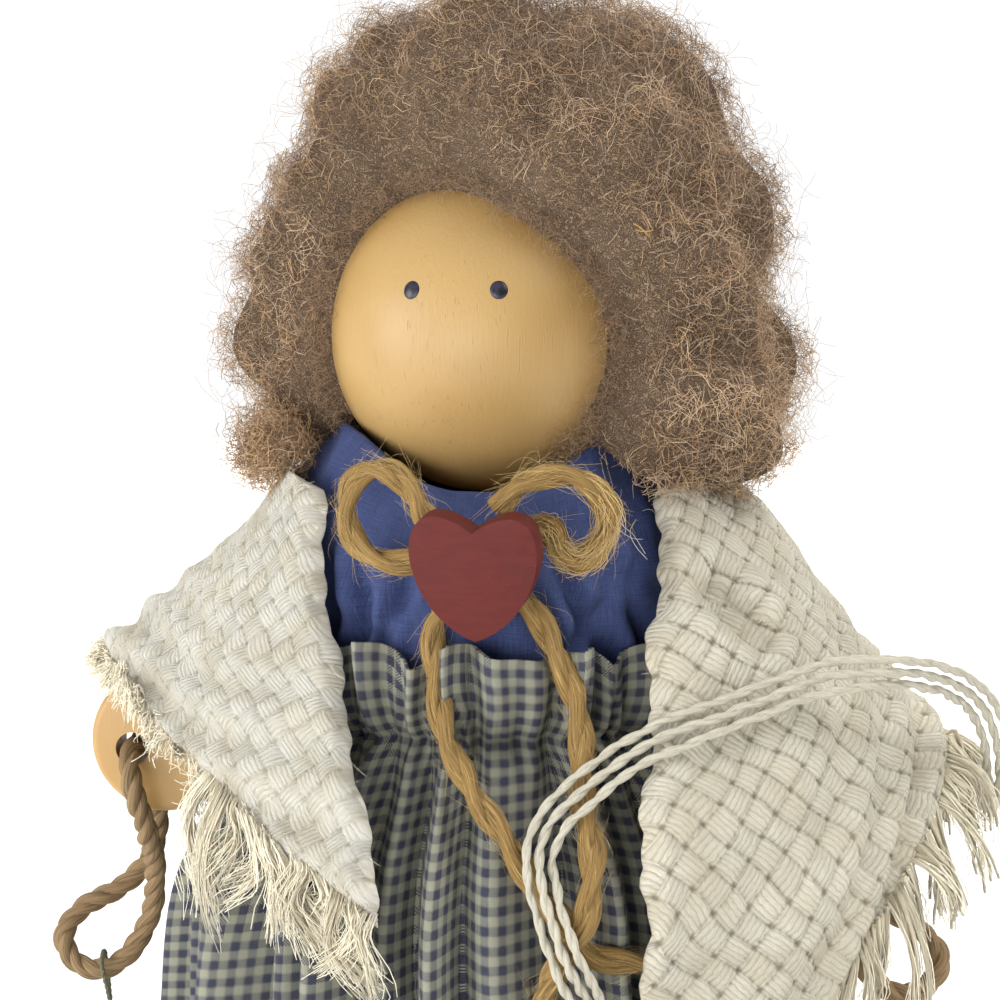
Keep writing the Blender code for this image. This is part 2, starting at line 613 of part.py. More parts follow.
def make_hand_cords():
    brown = (0.28, 0.20, 0.12)
    for side, word in ((-1, "right"), (1, "left")):
        route = [(-side * x, y, z) for x, y, z in HAND_CORD]
        cord("hand_cord_" + word, evenly(route, 2 * HAND_CORD_RADIUS), HAND_CORD_RADIUS, brown)
    cord("tie_thread", evenly(THREAD_ROUTE, 0.0035), THREAD_RADIUS, (0.30, 0.31, 0.24))


def make_shoes():
    for side, word in ((-1, "right"), (1, "left")):
        bm = bmesh.new()
        bmesh.ops.create_uvsphere(bm, u_segments=20, v_segments=12, radius=0.5)
        bmesh.ops.scale(bm, verts=bm.verts, vec=(SHOE_WIDTH, SHOE_LENGTH, 2 * SHOE_HEIGHT))
        sole = bmesh.ops.bisect_plane(
            bm, geom=bm.verts[:] + bm.edges[:] + bm.faces[:], plane_co=(0, 0, 0.0002), plane_no=(0, 0, -1), clear_outer=True)
        rim = [item for item in sole["geom_cut"] if isinstance(item, bmesh.types.BMEdge)]
        bmesh.ops.holes_fill(bm, edges=rim)
        bmesh.ops.recalc_face_normals(bm, faces=bm.faces)
        shoe = add_mesh("shoe_" + word, bm, (0.03, 0.025, 0.02), 0.5, (side * SHOE_X, SHOE_Y, 0))
        cut(shoe, rod(BASE_RADIUS + GAP, (0, 0, -0.01), (0, 0, 0.05), 36), "cut_shoe_back_" + word)


def main():
    for obj in list(bpy.data.objects):
        bpy.data.objects.remove(obj)
    make_torso()
    make_arm(-1, "right")
    make_arm(1, "left")
    make_head()
    make_hair()
    skirt = make_skirt()
    blouse = make_blouse()
    shawl = make_shawl()
    tails = make_bow(skirt, blouse)
    make_heart()
    make_yarn([skirt, shawl] + tails)
    make_hand_cords()
    make_shoes()


main()
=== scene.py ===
"""Looks of the standing wooden doll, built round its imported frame: wool hair, cloth, twine and painted wood.

Metres, +Z up. The doll looks towards -Y, so its right hand is at -X.
"""
import math
from functools import partialmethod

import bpy
import numpy as np
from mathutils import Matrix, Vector
from mathutils.kdtree import KDTree


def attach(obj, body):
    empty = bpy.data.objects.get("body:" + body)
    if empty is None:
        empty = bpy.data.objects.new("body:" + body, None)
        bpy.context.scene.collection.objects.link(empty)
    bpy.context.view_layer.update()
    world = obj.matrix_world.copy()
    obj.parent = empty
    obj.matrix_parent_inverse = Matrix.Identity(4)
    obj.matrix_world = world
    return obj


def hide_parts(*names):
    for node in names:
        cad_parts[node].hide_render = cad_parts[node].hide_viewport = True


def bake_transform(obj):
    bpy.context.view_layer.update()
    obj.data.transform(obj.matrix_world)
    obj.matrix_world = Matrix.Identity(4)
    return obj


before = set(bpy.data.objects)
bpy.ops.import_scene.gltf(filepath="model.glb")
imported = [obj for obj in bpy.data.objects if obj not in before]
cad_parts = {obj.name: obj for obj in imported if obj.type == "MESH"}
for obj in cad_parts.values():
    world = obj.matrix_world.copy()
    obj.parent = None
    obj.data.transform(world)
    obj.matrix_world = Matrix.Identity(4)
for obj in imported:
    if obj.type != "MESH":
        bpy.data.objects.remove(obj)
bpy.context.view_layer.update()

MM = 0.001

HEAD_CENTRE = np.array((0.0, 0.0, 0.222))
HEAD_RADIUS = 0.031
HEAD_FLAT_Z = 0.1915
FACE_TURN = math.radians(-8)

ARM_Y = 0.004
ARM_THICKNESS = 0.0095
SHOULDER = (0.0295, 0.177)
SHOULDER_END_RADIUS = 0.0075
HAND = (0.066, 0.139)
HAND_RADIUS = 0.0145
HAND_HOLE = (0.072, 0.1375)
HAND_HOLE_RADIUS = 0.0034
PIN_HOLE_RADIUS = 0.0028

JUTE_DIAMETER = 0.0048
JUTE_PLY_RADIUS = 0.00142
KNOT_CENTRE = (0.002, -0.0450, 0.187)
# Centrelines of the cords in millimetres, as the solids have them
BOW = {
    "bow_loop_right": [
        (-6.0, -44.6, 190.5), (-11.1, -43.0, 198.5), (-16.4, -41.0, 201.0), (-20.9, -39.6, 198.3),
        (-22.2, -39.6, 192.9), (-20.2, -41.2, 187.3), (-14.7, -43.8, 184.6), (-7.8, -44.4, 184.8),
    ],
    "bow_loop_left": [
        (5.5, -46.0, 194.5), (10.0, -45.5, 199.2), (15.6, -44.8, 200.6), (21.8, -43.2, 198.6),
        (24.8, -42.0, 193.8), (24.0, -42.2, 188.7), (20.4, -42.8, 185.2), (16.5, -43.0, 186.8),
        (15.0, -42.6, 190.5), (11.2, -42.6, 190.8),
    ],
    "bow_tail_right": [
        (-1.5, -44.4, 180.0), (-5.6, -45.3, 174.0), (-5.7, -46.1, 166.8), (-4.9, -47.2, 159.4), (-2.8, -50.1, 152.7),
        (0.9, -53.4, 147.2), (4.9, -56.1, 141.7), (9.3, -58.3, 135.8), (13.6, -60.4, 130.1), (18.2, -62.1, 124.7),
        (23.4, -63.0, 119.5), (30.7, -62.4, 117.9), (37.7, -61.3, 117.2),
    ],
    "bow_tail_left": [
        (6.0, -42.7, 180.5), (11.8, -43.1, 175.9), (15.3, -43.6, 169.4), (18.4, -43.9, 162.8), (20.3, -45.8, 155.8),
        (20.9, -49.7, 149.6), (21.5, -54.6, 144.1), (23.1, -59.9, 139.0), (23.6, -64.5, 133.4), (22.5, -67.7, 126.9),
        (19.0, -67.9, 120.5), (16.1, -66.0, 114.1), (15.0, -63.6, 107.2), (16.0, -62.3, 100.1),
    ],
}
YARN_DIAMETER = 0.0019
YARNS = {
    "yarn_1": [
        (100.8, -8.0, 132.1), (100.5, -11.5, 143.3), (97.4, -16.9, 152.8), (92.3, -24.3, 159.8), (85.6, -32.2, 164.6),
        (76.9, -39.7, 167.4), (65.6, -40.2, 167.1), (55.9, -43.9, 164.7), (45.8, -48.6, 161.7), (35.4, -52.2, 158.5),
        (25.7, -54.0, 153.1), (17.0, -56.6, 146.2), (13.7, -58.8, 142.0), (12.2, -62.8, 138.4), (12.5, -65.0, 133.0),
        (14.0, -67.6, 128.5), (15.8, -70.4, 124.0), (17.9, -71.8, 118.8), (19.9, -69.7, 113.8), (21.0, -66.1, 109.8),
        (21.5, -62.8, 105.5), (21.7, -61.7, 99.9),
    ],
    "yarn_2": [
        (98.5, -8.0, 132.0), (98.2, -11.5, 142.9), (95.1, -17.3, 152.2), (90.3, -24.9, 158.5), (83.6, -33.4, 163.0),
        (75.5, -40.3, 165.3), (64.2, -41.6, 164.6), (54.5, -46.3, 161.9), (44.8, -50.9, 159.0), (34.4, -53.9, 155.7),
        (25.2, -56.6, 150.0), (16.9, -58.9, 142.8), (14.6, -61.4, 138.4), (14.6, -65.2, 134.2), (16.0, -68.3, 129.9),
        (17.7, -70.9, 125.4), (19.8, -71.9, 120.2), (21.8, -69.4, 115.5), (23.0, -65.9, 111.4), (23.7, -62.9, 107.2),
        (24.0, -62.3, 101.8),
    ],
    "yarn_3": [
        (96.2, -8.0, 131.9), (95.8, -11.7, 143.0), (92.6, -18.1, 151.9), (87.6, -26.6, 157.8), (80.7, -35.5, 161.7),
        (71.9, -41.5, 163.1), (60.9, -44.4, 161.4), (51.2, -49.3, 158.6), (41.1, -54.3, 155.5), (30.9, -56.7, 151.3),
        (22.2, -60.6, 144.7), (18.3, -61.1, 140.7), (16.6, -62.2, 135.7), (17.6, -66.2, 132.0), (19.0, -69.7, 128.2),
        (21.1, -71.8, 123.3), (23.1, -70.3, 118.3), (24.7, -67.2, 113.9), (25.8, -64.1, 109.2), (26.2, -62.9, 103.7),
    ],
}
HAND_CORD_DIAMETER = 0.0046
HAND_CORD = [
    (-72.0, 2.0, 137.5), (-71.9, -4.0, 136.0), (-70.5, -6.2, 130.0), (-69.0, -3.0, 121.5), (-69.5, 6.0, 111.0),
    (-71.5, 10.0, 100.0), (-75.5, 10.0, 92.0), (-81.5, 9.5, 87.5), (-87.5, 10.0, 88.5), (-90.5, 11.5, 94.0),
    (-87.0, 14.0, 99.0), (-79.5, 17.0, 103.0), (-73.5, 19.0, 109.0), (-71.5, 19.0, 120.0), (-72.0, 16.5, 131.0),
    (-72.0, 12.5, 136.8), (-72.0, 6.2, 137.5),
]
THREAD_DIAMETER = 0.0011
TIE_THREAD = [
    (-79.0, 6.0, 79.0), (-80.0, 5.8, 84.0), (-81.2, 6.2, 89.2), (-81.5, 8.5, 91.3), (-82.0, 12.2, 90.0),
    (-81.8, 12.8, 86.0), (-81.0, 11.0, 83.0), (-80.0, 9.0, 76.0), (-79.5, 8.5, 66.0),
]

# Ribs of the shawl from its neck fold to its frayed edge, in millimetres, from the right front edge to the left one
SHAWL_RIBS = [
    [(-28.7, -25, 194.5), (-27.0, -34.5, 182), (-23.8, -42.5, 165), (-18.3, -54.5, 146.5), (-12.8, -67.2, 124)],
    [(-35.5, -13, 195), (-42.0, -21.5, 182), (-46.5, -30, 169), (-48.0, -37, 156), (-46.0, -43, 142.5)],
    [(-38.0, 3.0, 193.0), (-45.2, 2.0, 183.8), (-55.5, 1.0, 174.8), (-66.0, 0.0, 166.0), (-76.2, -2.0, 157.5)],
    [(-30.0, 24.5, 195.5), (-42.0, 33.5, 176.0), (-51.5, 42.0, 157.0), (-56.0, 49.0, 140.0), (-54.0, 54.0, 124.0)],
    [(0.0, 38.5, 196.0), (0.0, 48.0, 173.0), (0.0, 64.0, 145.0), (0.0, 73.0, 124.0), (0.0, 74.5, 100.0)],
    [(31.5, 24.5, 195.5), (45.0, 33.5, 177.0), (55.0, 42.5, 157.0), (60.0, 50.0, 138.0), (60.0, 55.0, 118.0)],
    [(39.5, 3.0, 194.0), (51.0, 1.0, 188.0), (63.5, -2.0, 171.5), (77.0, -6.0, 155.2), (89.0, -11.0, 143.0)],
    [(38.5, -8.0, 195.0), (50.0, -25.0, 179.0), (59.5, -38.0, 158.0), (65.3, -47.4, 132.0), (61.8, -52.4, 102.5)],
    [(33.5, -17.0, 194.5), (33.5, -32.5, 180.0), (33.0, -46.0, 160.0), (32.6, -64.5, 128.0), (34.0, -67.0, 68.0)],
]

UNDERARM_ANGLE = math.radians(95)
UNDERARM_SPREAD = math.radians(30)
UNDERARM_DIP = 0.009


# Shader maths and finishes

def srgb(red, green, blue):
    """Colour for a shader, from the 0 to 255 values of a screen."""
    parts = [part / 255 for part in (red, green, blue)]
    return (*[p / 12.92 if p <= 0.04045 else ((p + 0.055) / 1.055) ** 2.4 for p in parts], 1)


class Value:
    """A shader socket that takes part in arithmetic."""

    def __init__(self, finish, socket):
        self.finish = finish
        self.socket = socket

    def math(self, operation, *others):
        return self.finish.node("Math", {"operation": operation}, dict(enumerate((self, *others))))

    def flipped(self, operation, other):
        return self.finish.node("Math", {"operation": operation}, {0: other, 1: self})

    __add__ = partialmethod(math, "ADD")
    __radd__ = partialmethod(flipped, "ADD")
    __sub__ = partialmethod(math, "SUBTRACT")
    __rsub__ = partialmethod(flipped, "SUBTRACT")
    __mul__ = partialmethod(math, "MULTIPLY")
    __rmul__ = partialmethod(flipped, "MULTIPLY")
    __truediv__ = partialmethod(math, "DIVIDE")
    __mod__ = partialmethod(math, "FLOORED_MODULO")

    def floor(self):
        return self.math("FLOOR")

    def wave(self):
        return self.math("SINE").math("ABSOLUTE")

    def between(self, low, high):
        """0 below low and 1 above high, with a soft step between."""
        return self.finish.node("MapRange", {"interpolation_type": "SMOOTHSTEP"}, {0: self, 1: low, 2: high})


class Finish:
    """A procedural material on one Principled shader."""

    def __init__(self, name, colour, roughness):
        self.material = bpy.data.materials.new(name)
        self.material.use_nodes = True
        self.tree = self.material.node_tree
        self.shader = self.tree.nodes["Principled BSDF"]
        self.material.diffuse_color = colour
        self.set("Base Color", colour)
        self.set("Roughness", roughness)

    def set(self, socket, value):
        self.feed(self.shader.inputs[socket], value)

    def feed(self, socket, value):
        if isinstance(value, Value):
            self.tree.links.new(value.socket, socket)
        else:
            socket.default_value = value

    def node(self, kind, settings, inputs, output=0):
        made = self.tree.nodes.new("ShaderNode" + kind)
        for name, value in settings.items():
            setattr(made, name, value)
        for name, value in inputs.items():
            self.feed(made.inputs[name], value)
        return Value(self, made.outputs[output])

    def place(self):
        return self.node("TexCoord", {}, {}, "Object")

    def lie(self):
        """Two numbers across and along the piece's own map, in millimetres or cells."""
        both = self.node("UVMap", {"uv_map": "lie"}, {})
        return self.split(both)

    def split(self, vector):
        cut = self.tree.nodes.new("ShaderNodeSeparateXYZ")
        self.feed(cut.inputs[0], vector)
        return Value(self, cut.outputs[0]), Value(self, cut.outputs[1])

    def join(self, x, y):
        return self.node("CombineXYZ", {}, {0: x, 1: y})

    def stretched(self, vector, scale):
        return self.node("Mapping", {}, {"Vector": vector, "Scale": scale})

    def noise(self, vector, scale=1.0, detail=2.0, roughness=0.5):
        inputs = {"Vector": vector, "Scale": scale, "Detail": detail, "Roughness": roughness}
        return self.node("TexNoise", {}, inputs)

    def mix(self, one, two, share):
        return self.node("Mix", {"data_type": "RGBA"}, {0: share, 6: one, 7: two}, 2)

    def bump(self, height, distance, strength=1.0):
        inputs = {"Height": height, "Distance": distance, "Strength": strength}
        self.set("Normal", self.node("Bump", {}, inputs))


def painted_wood(name, dark, light, grain=1.0):
    """Satin paint that lets the grain below it show as fine upright lines."""
    finish = Finish(name, light, 0.42)
    place = finish.place()
    cloud = finish.noise(place, 28, 2)
    lines = finish.noise(finish.stretched(place, (1500, 1500, 90)), 1, 3, 0.6)
    grooves = lines.between(0.60, 0.74)
    shown = finish.noise(place, 45, 1).between(0.42, 0.62)
    fine = finish.noise(place, 2600, 2)
    colour = finish.mix(dark, light, cloud.between(0.3, 0.7))
    colour = finish.mix(colour, dark, grooves * shown * 0.35 * grain)
    finish.set("Base Color", colour)
    finish.set("Roughness", 0.31 + 0.12 * cloud + 0.08 * lines)
    finish.bump(fine * 0.12 + lines * 0.9 * grain - grooves * shown * 0.9 * grain, 0.00011, 0.9)
    return finish


def bare_wood(name):
    """Turned wood without paint, with upright grain."""
    dark = srgb(142, 104, 62)
    light = srgb(196, 158, 104)
    finish = Finish(name, light, 0.6)
    place = finish.place()
    rings = finish.noise(finish.stretched(place, (420, 420, 26)), 1, 4, 0.6)
    finish.set("Base Color", finish.mix(dark, light, rings.between(0.3, 0.7)))
    finish.set("Roughness", 0.5 + 0.2 * rings)
    finish.bump(rings, 0.00015, 0.6)
    return finish


def gingham():
    """Small check: blue and cream threads that pass over and under each other one by one."""
    blue = srgb(20, 24, 60)
    cream = srgb(142, 142, 125)
    finish = Finish("gingham", srgb(110, 113, 126), 0.9)
    across, along = finish.lie()
    where = finish.join(across, along)
    stir = (finish.noise(where, 1.3, 3) - 0.5) * 0.5
    period = 3.4
    thread = period / 12
    warp = ((across + stir) / period % 1.0).between(0.42, 0.58)
    weft = ((along + stir) / period % 1.0).between(0.42, 0.58)
    over = ((across / thread).floor() + (along / thread).floor()) % 2.0
    blueness = over * warp + (1 - over) * weft
    speck = finish.noise(where, 5.5, 2)
    worn = finish.noise(where, 0.12, 2)
    colour = finish.mix(cream, blue, blueness * (0.62 + 0.55 * speck))
    colour = finish.mix(colour, srgb(100, 102, 102), worn.between(0.45, 0.85) * 0.2)
    finish.set("Base Color", colour)
    finish.set("Roughness", 0.84 + 0.12 * speck)
    threads = (across * (math.pi / thread)).wave() + (along * (math.pi / thread)).wave()
    finish.bump(threads * 0.4 + speck, 0.00009, 0.7)
    return finish


def chambray():
    """Plain blue cotton with paler and darker threads."""
    deep = srgb(36, 47, 90)
    pale = srgb(70, 85, 130)
    finish = Finish("chambray", srgb(54, 70, 132), 0.88)
    across, along = finish.lie()
    where = finish.join(across, along)
    warp = finish.noise(finish.join(across * 4.2, along * 0.22), 1, 2)
    weft = finish.noise(finish.join(across * 0.22, along * 4.2), 1, 2)
    cloud = finish.noise(where, 0.10, 2)
    thread = 0.26
    over = ((across / thread).floor() + (along / thread).floor()) % 2.0
    tone = over * warp + (1 - over) * weft
    colour = finish.mix(deep, pale, tone.between(0.25, 0.8))
    colour = finish.mix(colour, deep, cloud.between(0.45, 0.8) * 0.35)
    finish.set("Base Color", colour)
    finish.set("Roughness", 0.8 + 0.16 * tone)
    threads = (across * (math.pi / thread)).wave() + (along * (math.pi / thread)).wave()
    finish.bump(threads * 0.3 + tone, 0.00008, 0.7)
    return finish


def basket_weave(name, cream, hole, gap):
    """Groups of soft cream threads in a checkerboard of over and under, with painted shade between the threads and in
    the open corners; the map counts cells.
    """
    threads = 5
    warm = srgb(240, 231, 208)
    finish = Finish(name, cream, 0.95)
    across, along = finish.lie()
    where = finish.join(across, along)
    column = across.floor()
    row = along.floor()
    x = across - column
    y = along - row
    over = (column + row) % 2.0
    run = over * x + (1 - over) * y
    side = over * y + (1 - over) * x
    arch = (run * math.pi).wave()
    fibres_x = finish.noise(finish.join(across * 5, along * 46), 1, 3, 0.6)
    fibres_y = finish.noise(finish.join(across * 46, along * 5), 1, 3, 0.6)
    fibres = over * fibres_x + (1 - over) * fibres_y
    cell = finish.noise(where, 0.55, 1)
    fluff = finish.noise(where, 24, 3, 0.7)
    ridge = ((side + 0.16 * finish.noise(where, 3.5, 2)) * (math.pi * threads)).wave()
    edge = (side * math.pi).wave()
    # Open corners between the groups, where the hole colour is painted shade.
    open_corner_shade = (1 - arch.between(0.05, 0.55)) * (1 - edge.between(0.05, 0.6))
    colour = finish.mix(warm, cream, cell.between(0.3, 0.65))
    crown = (0.45 + 0.55 * ridge.between(0.05, 0.6)) * (0.55 + 0.45 * fibres.between(0.3, 0.58))
    # Painted shade: the gap colour darkens the grooves between threads and the ends where a group dives under the
    # next; fluff darkens it a little at random.
    colour = finish.mix(gap, colour, crown)
    colour = finish.mix(colour, gap, (1 - arch.between(0.0, 0.4)) * 0.4)
    colour = finish.mix(colour, hole, open_corner_shade * 0.7)
    colour = finish.mix(colour, gap, fluff.between(0.5, 0.8) * 0.25)
    finish.set("Base Color", colour)
    finish.set("Roughness", 0.88 + 0.1 * fibres)
    finish.bump(ridge * 1.2 + fibres * 1.5 + fluff, 0.00046, 1.0)
    return finish


def twisted_fibre(name, dark, middle, light, streak=1.0):
    """Plies of long fibres; the map runs in millimetres along a cord and in turns round a ply."""
    finish = Finish(name, middle, 0.8)
    along, turn = finish.lie()
    strands = finish.noise(finish.join(along * 0.12 * streak, turn * 22 + along * 0.2 * streak), 1, 5, 0.7)
    broad = finish.noise(finish.join(along * 0.06, turn * 3), 1, 2)
    colour = finish.mix(dark, middle, strands.between(0.30, 0.52))
    colour = finish.mix(colour, light, strands.between(0.52, 0.74) * (0.45 + 0.55 * broad))
    finish.set("Base Color", colour)
    finish.set("Roughness", 0.62 + 0.3 * strands)
    finish.bump(strands, 0.0006, 1.0)
    return finish


def matt_paint(name, dark, light):
    """Flat paint with brush marks and a little grit."""
    finish = Finish(name, light, 0.62)
    place = finish.place()
    brush = finish.noise(finish.stretched(place, (260, 260, 900)), 1, 3)
    cloud = finish.noise(place, 130, 3)
    grit = finish.noise(place, 2400, 2)
    colour = finish.mix(dark, light, (0.5 * brush + 0.5 * cloud).between(0.35, 0.65))
    colour = finish.mix(colour, srgb(150, 110, 98), grit.between(0.70, 0.82) * 0.35)
    finish.set("Base Color", colour)
    finish.set("Roughness", 0.55 + 0.2 * cloud)
    finish.set("Specular IOR Level", 0.25)
    finish.bump(brush * 0.5 + grit * 0.5, 0.00008, 0.7)
    return finish


# Mesh code for cloth, cords and wool

def unit(vectors):
    return vectors / np.maximum(np.linalg.norm(vectors, axis=-1, keepdims=True), 1e-12)


def soft_step(values, low, high):
    t = np.clip((values - low) / (high - low), 0, 1)
    return t * t * (3 - 2 * t)


def add_mesh(name, verts, faces, finish, lie=None):
    """Piece from points and arrays of faces; lie has two numbers for each corner of each face, in the same order."""
    mesh = bpy.data.meshes.new(name)
    mesh.vertices.add(len(verts))
    mesh.vertices.foreach_set("co", np.asarray(verts, np.float32).ravel())
    corners = np.concatenate([group.ravel() for group in faces])
    mesh.loops.add(len(corners))
    mesh.loops.foreach_set("vertex_index", corners.astype(np.int32))
    sizes = np.concatenate([np.full(len(group), group.shape[1]) for group in faces])
    mesh.polygons.add(len(sizes))
    mesh.polygons.foreach_set("loop_start", np.concatenate(([0], np.cumsum(sizes)[:-1])).astype(np.int32))
    mesh.update(calc_edges=True)
    mesh.shade_smooth()
    if lie is not None:
        layer = mesh.uv_layers.new(name="lie")
        layer.data.foreach_set("uv", np.asarray(lie, np.float32).ravel())
    mesh.materials.append(finish.material)
    piece = bpy.data.objects.new(name, mesh)
    bpy.context.scene.collection.objects.link(piece)
    return piece


def spline(points, t):
    """Smooth curve through an array of points along its first axis, with t from 0 to one less than their count."""
    points = np.asarray(points, float)
    t = np.atleast_1d(np.asarray(t, float))
    i = np.clip(t.astype(int), 0, len(points) - 2)
    f = (t - i).reshape((-1,) + (1,) * (points.ndim - 1))
    padded = np.concatenate(([2 * points[0] - points[1]], points, [2 * points[-1] - points[-2]]))
    p0, p1, p2, p3 = padded[i], padded[i + 1], padded[i + 2], padded[i + 3]
    return 0.5 * (2 * p1 + (p2 - p0) * f + (2 * p0 - 5 * p1 + 4 * p2 - p3) * f ** 2
                  + (3 * p1 - p0 - 3 * p2 + p3) * f ** 3)


def lengths_along(line):
    """Length from the first point of a line to each of its points."""
    return np.concatenate(([0], np.cumsum(np.linalg.norm(np.diff(line, axis=0), axis=1))))


def route(points, spacing):
    """Evenly spaced points in metres on a smooth curve through points in millimetres."""
    fine = spline(np.asarray(points, float) * MM, np.linspace(0, len(points) - 1, 60 * len(points)))
    length = lengths_along(fine)
    count = max(8, int(round(length[-1] / spacing)))
    want = np.linspace(0, length[-1], count + 1)
    return np.stack([np.interp(want, length, fine[:, k]) for k in range(3)], axis=1)


def frames(paths):
    """Two unit vectors across each path, carried along it without twist."""
    tangent = unit(np.gradient(paths, axis=1))
    first = np.where(np.abs(tangent[:, 0, 2:3]) < 0.9, np.array([[0.0, 0.0, 1.0]]), np.array([[1.0, 0.0, 0.0]]))
    across = np.empty_like(paths)
    for i in range(paths.shape[1]):
        first = unit(first - (first * tangent[:, i]).sum(1, keepdims=True) * tangent[:, i])
        across[:, i] = first
    return across, np.cross(tangent, across)


def tubes(name, paths, radius, sides, finish, lie_along=None):
    """One piece of round strands with closed ends; radius is one number or one for each point."""
    count, points, _ = paths.shape
    across, beside = frames(paths)
    turn = 2 * np.pi * np.arange(sides) / sides
    radius = np.broadcast_to(np.asarray(radius, float), (count, points))[:, :, None, None]
    ring = across[:, :, None] * np.cos(turn)[:, None] + beside[:, :, None] * np.sin(turn)[:, None]
    verts = (paths[:, :, None] + ring * radius).reshape(-1, 3)
    base = (np.arange(count) * points * sides)[:, None, None]
    level = (np.arange(points - 1) * sides)[None, :, None]
    here = np.arange(sides)[None, None, :]
    after = (np.arange(sides) + 1) % sides
    low = base + level
    quads = np.stack((low + here, low + after, low + sides + after, low + sides + here), axis=-1).reshape(-1, 4)
    starts = (base[:, 0] + np.arange(sides)[::-1]).reshape(-1, sides)
    ends = (base[:, 0] + (points - 1) * sides + np.arange(sides)).reshape(-1, sides)
    lie = None
    if lie_along is not None:
        along = np.broadcast_to(lie_along, (count, points))[:, :, None]
        turns = np.arange(sides + 1) / sides + 7.31 * np.arange(count)[:, None, None]
        grid = np.stack(np.broadcast_arrays(along, turns), axis=-1)
        body = np.stack((grid[:, :-1, :-1], grid[:, :-1, 1:], grid[:, 1:, 1:], grid[:, 1:, :-1]), axis=3)
        lie = np.concatenate((body.reshape(-1, 2), np.zeros((2 * count * sides, 2))))
    return add_mesh(name, verts, [quads, starts, ends], finish, lie)


def wound(centre, plies, offset, pitch, rng, loose=0.0):
    """Centrelines of plies wound round a cord's centreline, and the length along it in millimetres."""
    along = lengths_along(centre)
    across, beside = frames(centre[None])
    paths = []
    for ply in range(plies):
        sway = loose * np.interp(along, np.linspace(0, along[-1], 9), rng.normal(0, 1, 9))
        phase = 2 * np.pi * (along / pitch + ply / plies) + sway
        reach = offset * (1 + 0.4 * sway)[:, None]
        paths.append(centre + reach * (across[0] * np.cos(phase)[:, None] + beside[0] * np.sin(phase)[:, None]))
    return np.array(paths), along / MM


def fuzz(name, centre, count, reach, length, radius, finish, rng):
    """Loose fibres that stand off a cord, mostly along it."""
    points = 7
    at = rng.integers(1, len(centre) - 1, count)
    tangent = unit(np.gradient(centre, axis=0))[at] * rng.choice((-1, 1), count)[:, None]
    out = rng.normal(0, 1, (count, 3))
    out = unit(out - (out * tangent).sum(1, keepdims=True) * tangent)
    bend = unit(rng.normal(0, 1, (count, 3)))
    size = length * rng.uniform(0.4, 1.2, (count, 1, 1))
    t = np.linspace(0, 1, points)[None, :, None]
    stand = rng.uniform(0.05, 0.6, (count, 1, 1))
    paths = centre[at][:, None] + out[:, None] * (reach * 0.9 + size * stand * 0.5 * t)
    sway = np.sin(rng.uniform(1.5, 4.0, (count, 1, 1)) * t) * 0.4 * t
    paths = paths + tangent[:, None] * size * t + bend[:, None] * size * sway
    taper = radius * np.linspace(1, 0.5, points)[None]
    return tubes(name, paths, taper, 3, finish)


def tuft(name, centre, count, spread, span, radius, finish, rng):
    """Fibres that have come out of the ply and run beside the cord."""
    points = 9
    start = rng.integers(0, len(centre) - span, count)
    base = centre[start[:, None] + np.linspace(0, span - 1, points).round().astype(int)[None]]
    t = np.linspace(0, 1, points)[None, :, None]
    out = unit(rng.normal(0, 1, (count, 1, 3))) * spread * rng.uniform(0.45, 1.0, (count, 1, 1))
    wave = np.sin(rng.uniform(2, 6, (count, 1, 1)) * t + rng.uniform(0, 6, (count, 1, 1)))
    paths = base + out * (0.7 + 0.4 * t) + unit(rng.normal(0, 1, (count, 1, 3))) * wave * spread * 0.3
    return tubes(name, paths, np.full((1, points), radius), 3, finish)


def cord_piece(name, centre, diameter, plies, ply_radius, pitch, finish, rng, sides, loose=0.0):
    """A cord of plies that swell a little along it."""
    offset = diameter / 2 - ply_radius
    paths, along = wound(centre, plies, offset, pitch, rng, loose)
    lump = 1 + 0.06 * np.sin(along / 1.7)[None] + 0.05 * rng.normal(0, 1, (plies, 1))
    return tubes(name, paths, ply_radius * lump, sides, finish, along[None])


def belong(piece, body, node=None):
    """Carry a piece on a body, in place of a node of the frame."""
    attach(piece, body)
    if node:
        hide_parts(node)


# Camera, light and floor

CAMERA_LENS = 88.56
CAMERA_TARGET = Vector((0.002, 0, 0.189))
CAMERA_DISTANCE = 0.48
CAMERA_AZIMUTH = math.radians(5)
CAMERA_ELEVATION = math.radians(9)
# Name, place, diameter, power and aim of each lamp
LAMPS = [
    ("key", (-0.90, -0.55, 0.32), 0.70, 8.1, (0, 0, 0.18)),
    ("fill", (-0.26, -0.98, 0.15), 0.60, 4.6, (0, 0, 0.20)),
    ("side", (0.66, -0.06, 0.96), 0.60, 7.0, (0, 0, 0.17)),
    ("floor_light", (0.0, 1.9, 1.5), 2.6, 60.0, (0, 1.9, 0)),
]


def direction(azimuth, elevation):
    """Unit vector from angles about the doll's front, in radians."""
    flat = math.cos(elevation)
    return Vector((math.sin(azimuth) * flat, -math.cos(azimuth) * flat, math.sin(elevation)))


def make_camera():
    camera = bpy.data.cameras.new("camera")
    camera.sensor_width = 36
    camera.lens = CAMERA_LENS
    camera.clip_start = 0.01
    stand = bpy.data.objects.new("camera", camera)
    back = direction(CAMERA_AZIMUTH, CAMERA_ELEVATION)
    stand.location = CAMERA_TARGET + CAMERA_DISTANCE * back
    stand.rotation_euler = back.to_track_quat("Z", "Y").to_euler()
    bpy.context.scene.collection.objects.link(stand)
    bpy.context.scene.camera = stand
    bpy.context.scene.view_settings.view_transform = "Standard"


def make_lamps():
    for name, place, size, power, aim in LAMPS:
        lamp = bpy.data.lights.new(name, "AREA")
        lamp.shape = "DISK"
        lamp.size = size
        lamp.energy = power
        holder = bpy.data.objects.new(name, lamp)
        holder.visible_camera = False
        holder.location = place
        holder.rotation_euler = (Vector(place) - Vector(aim)).to_track_quat("Z", "Y").to_euler()
        bpy.context.scene.collection.objects.link(holder)


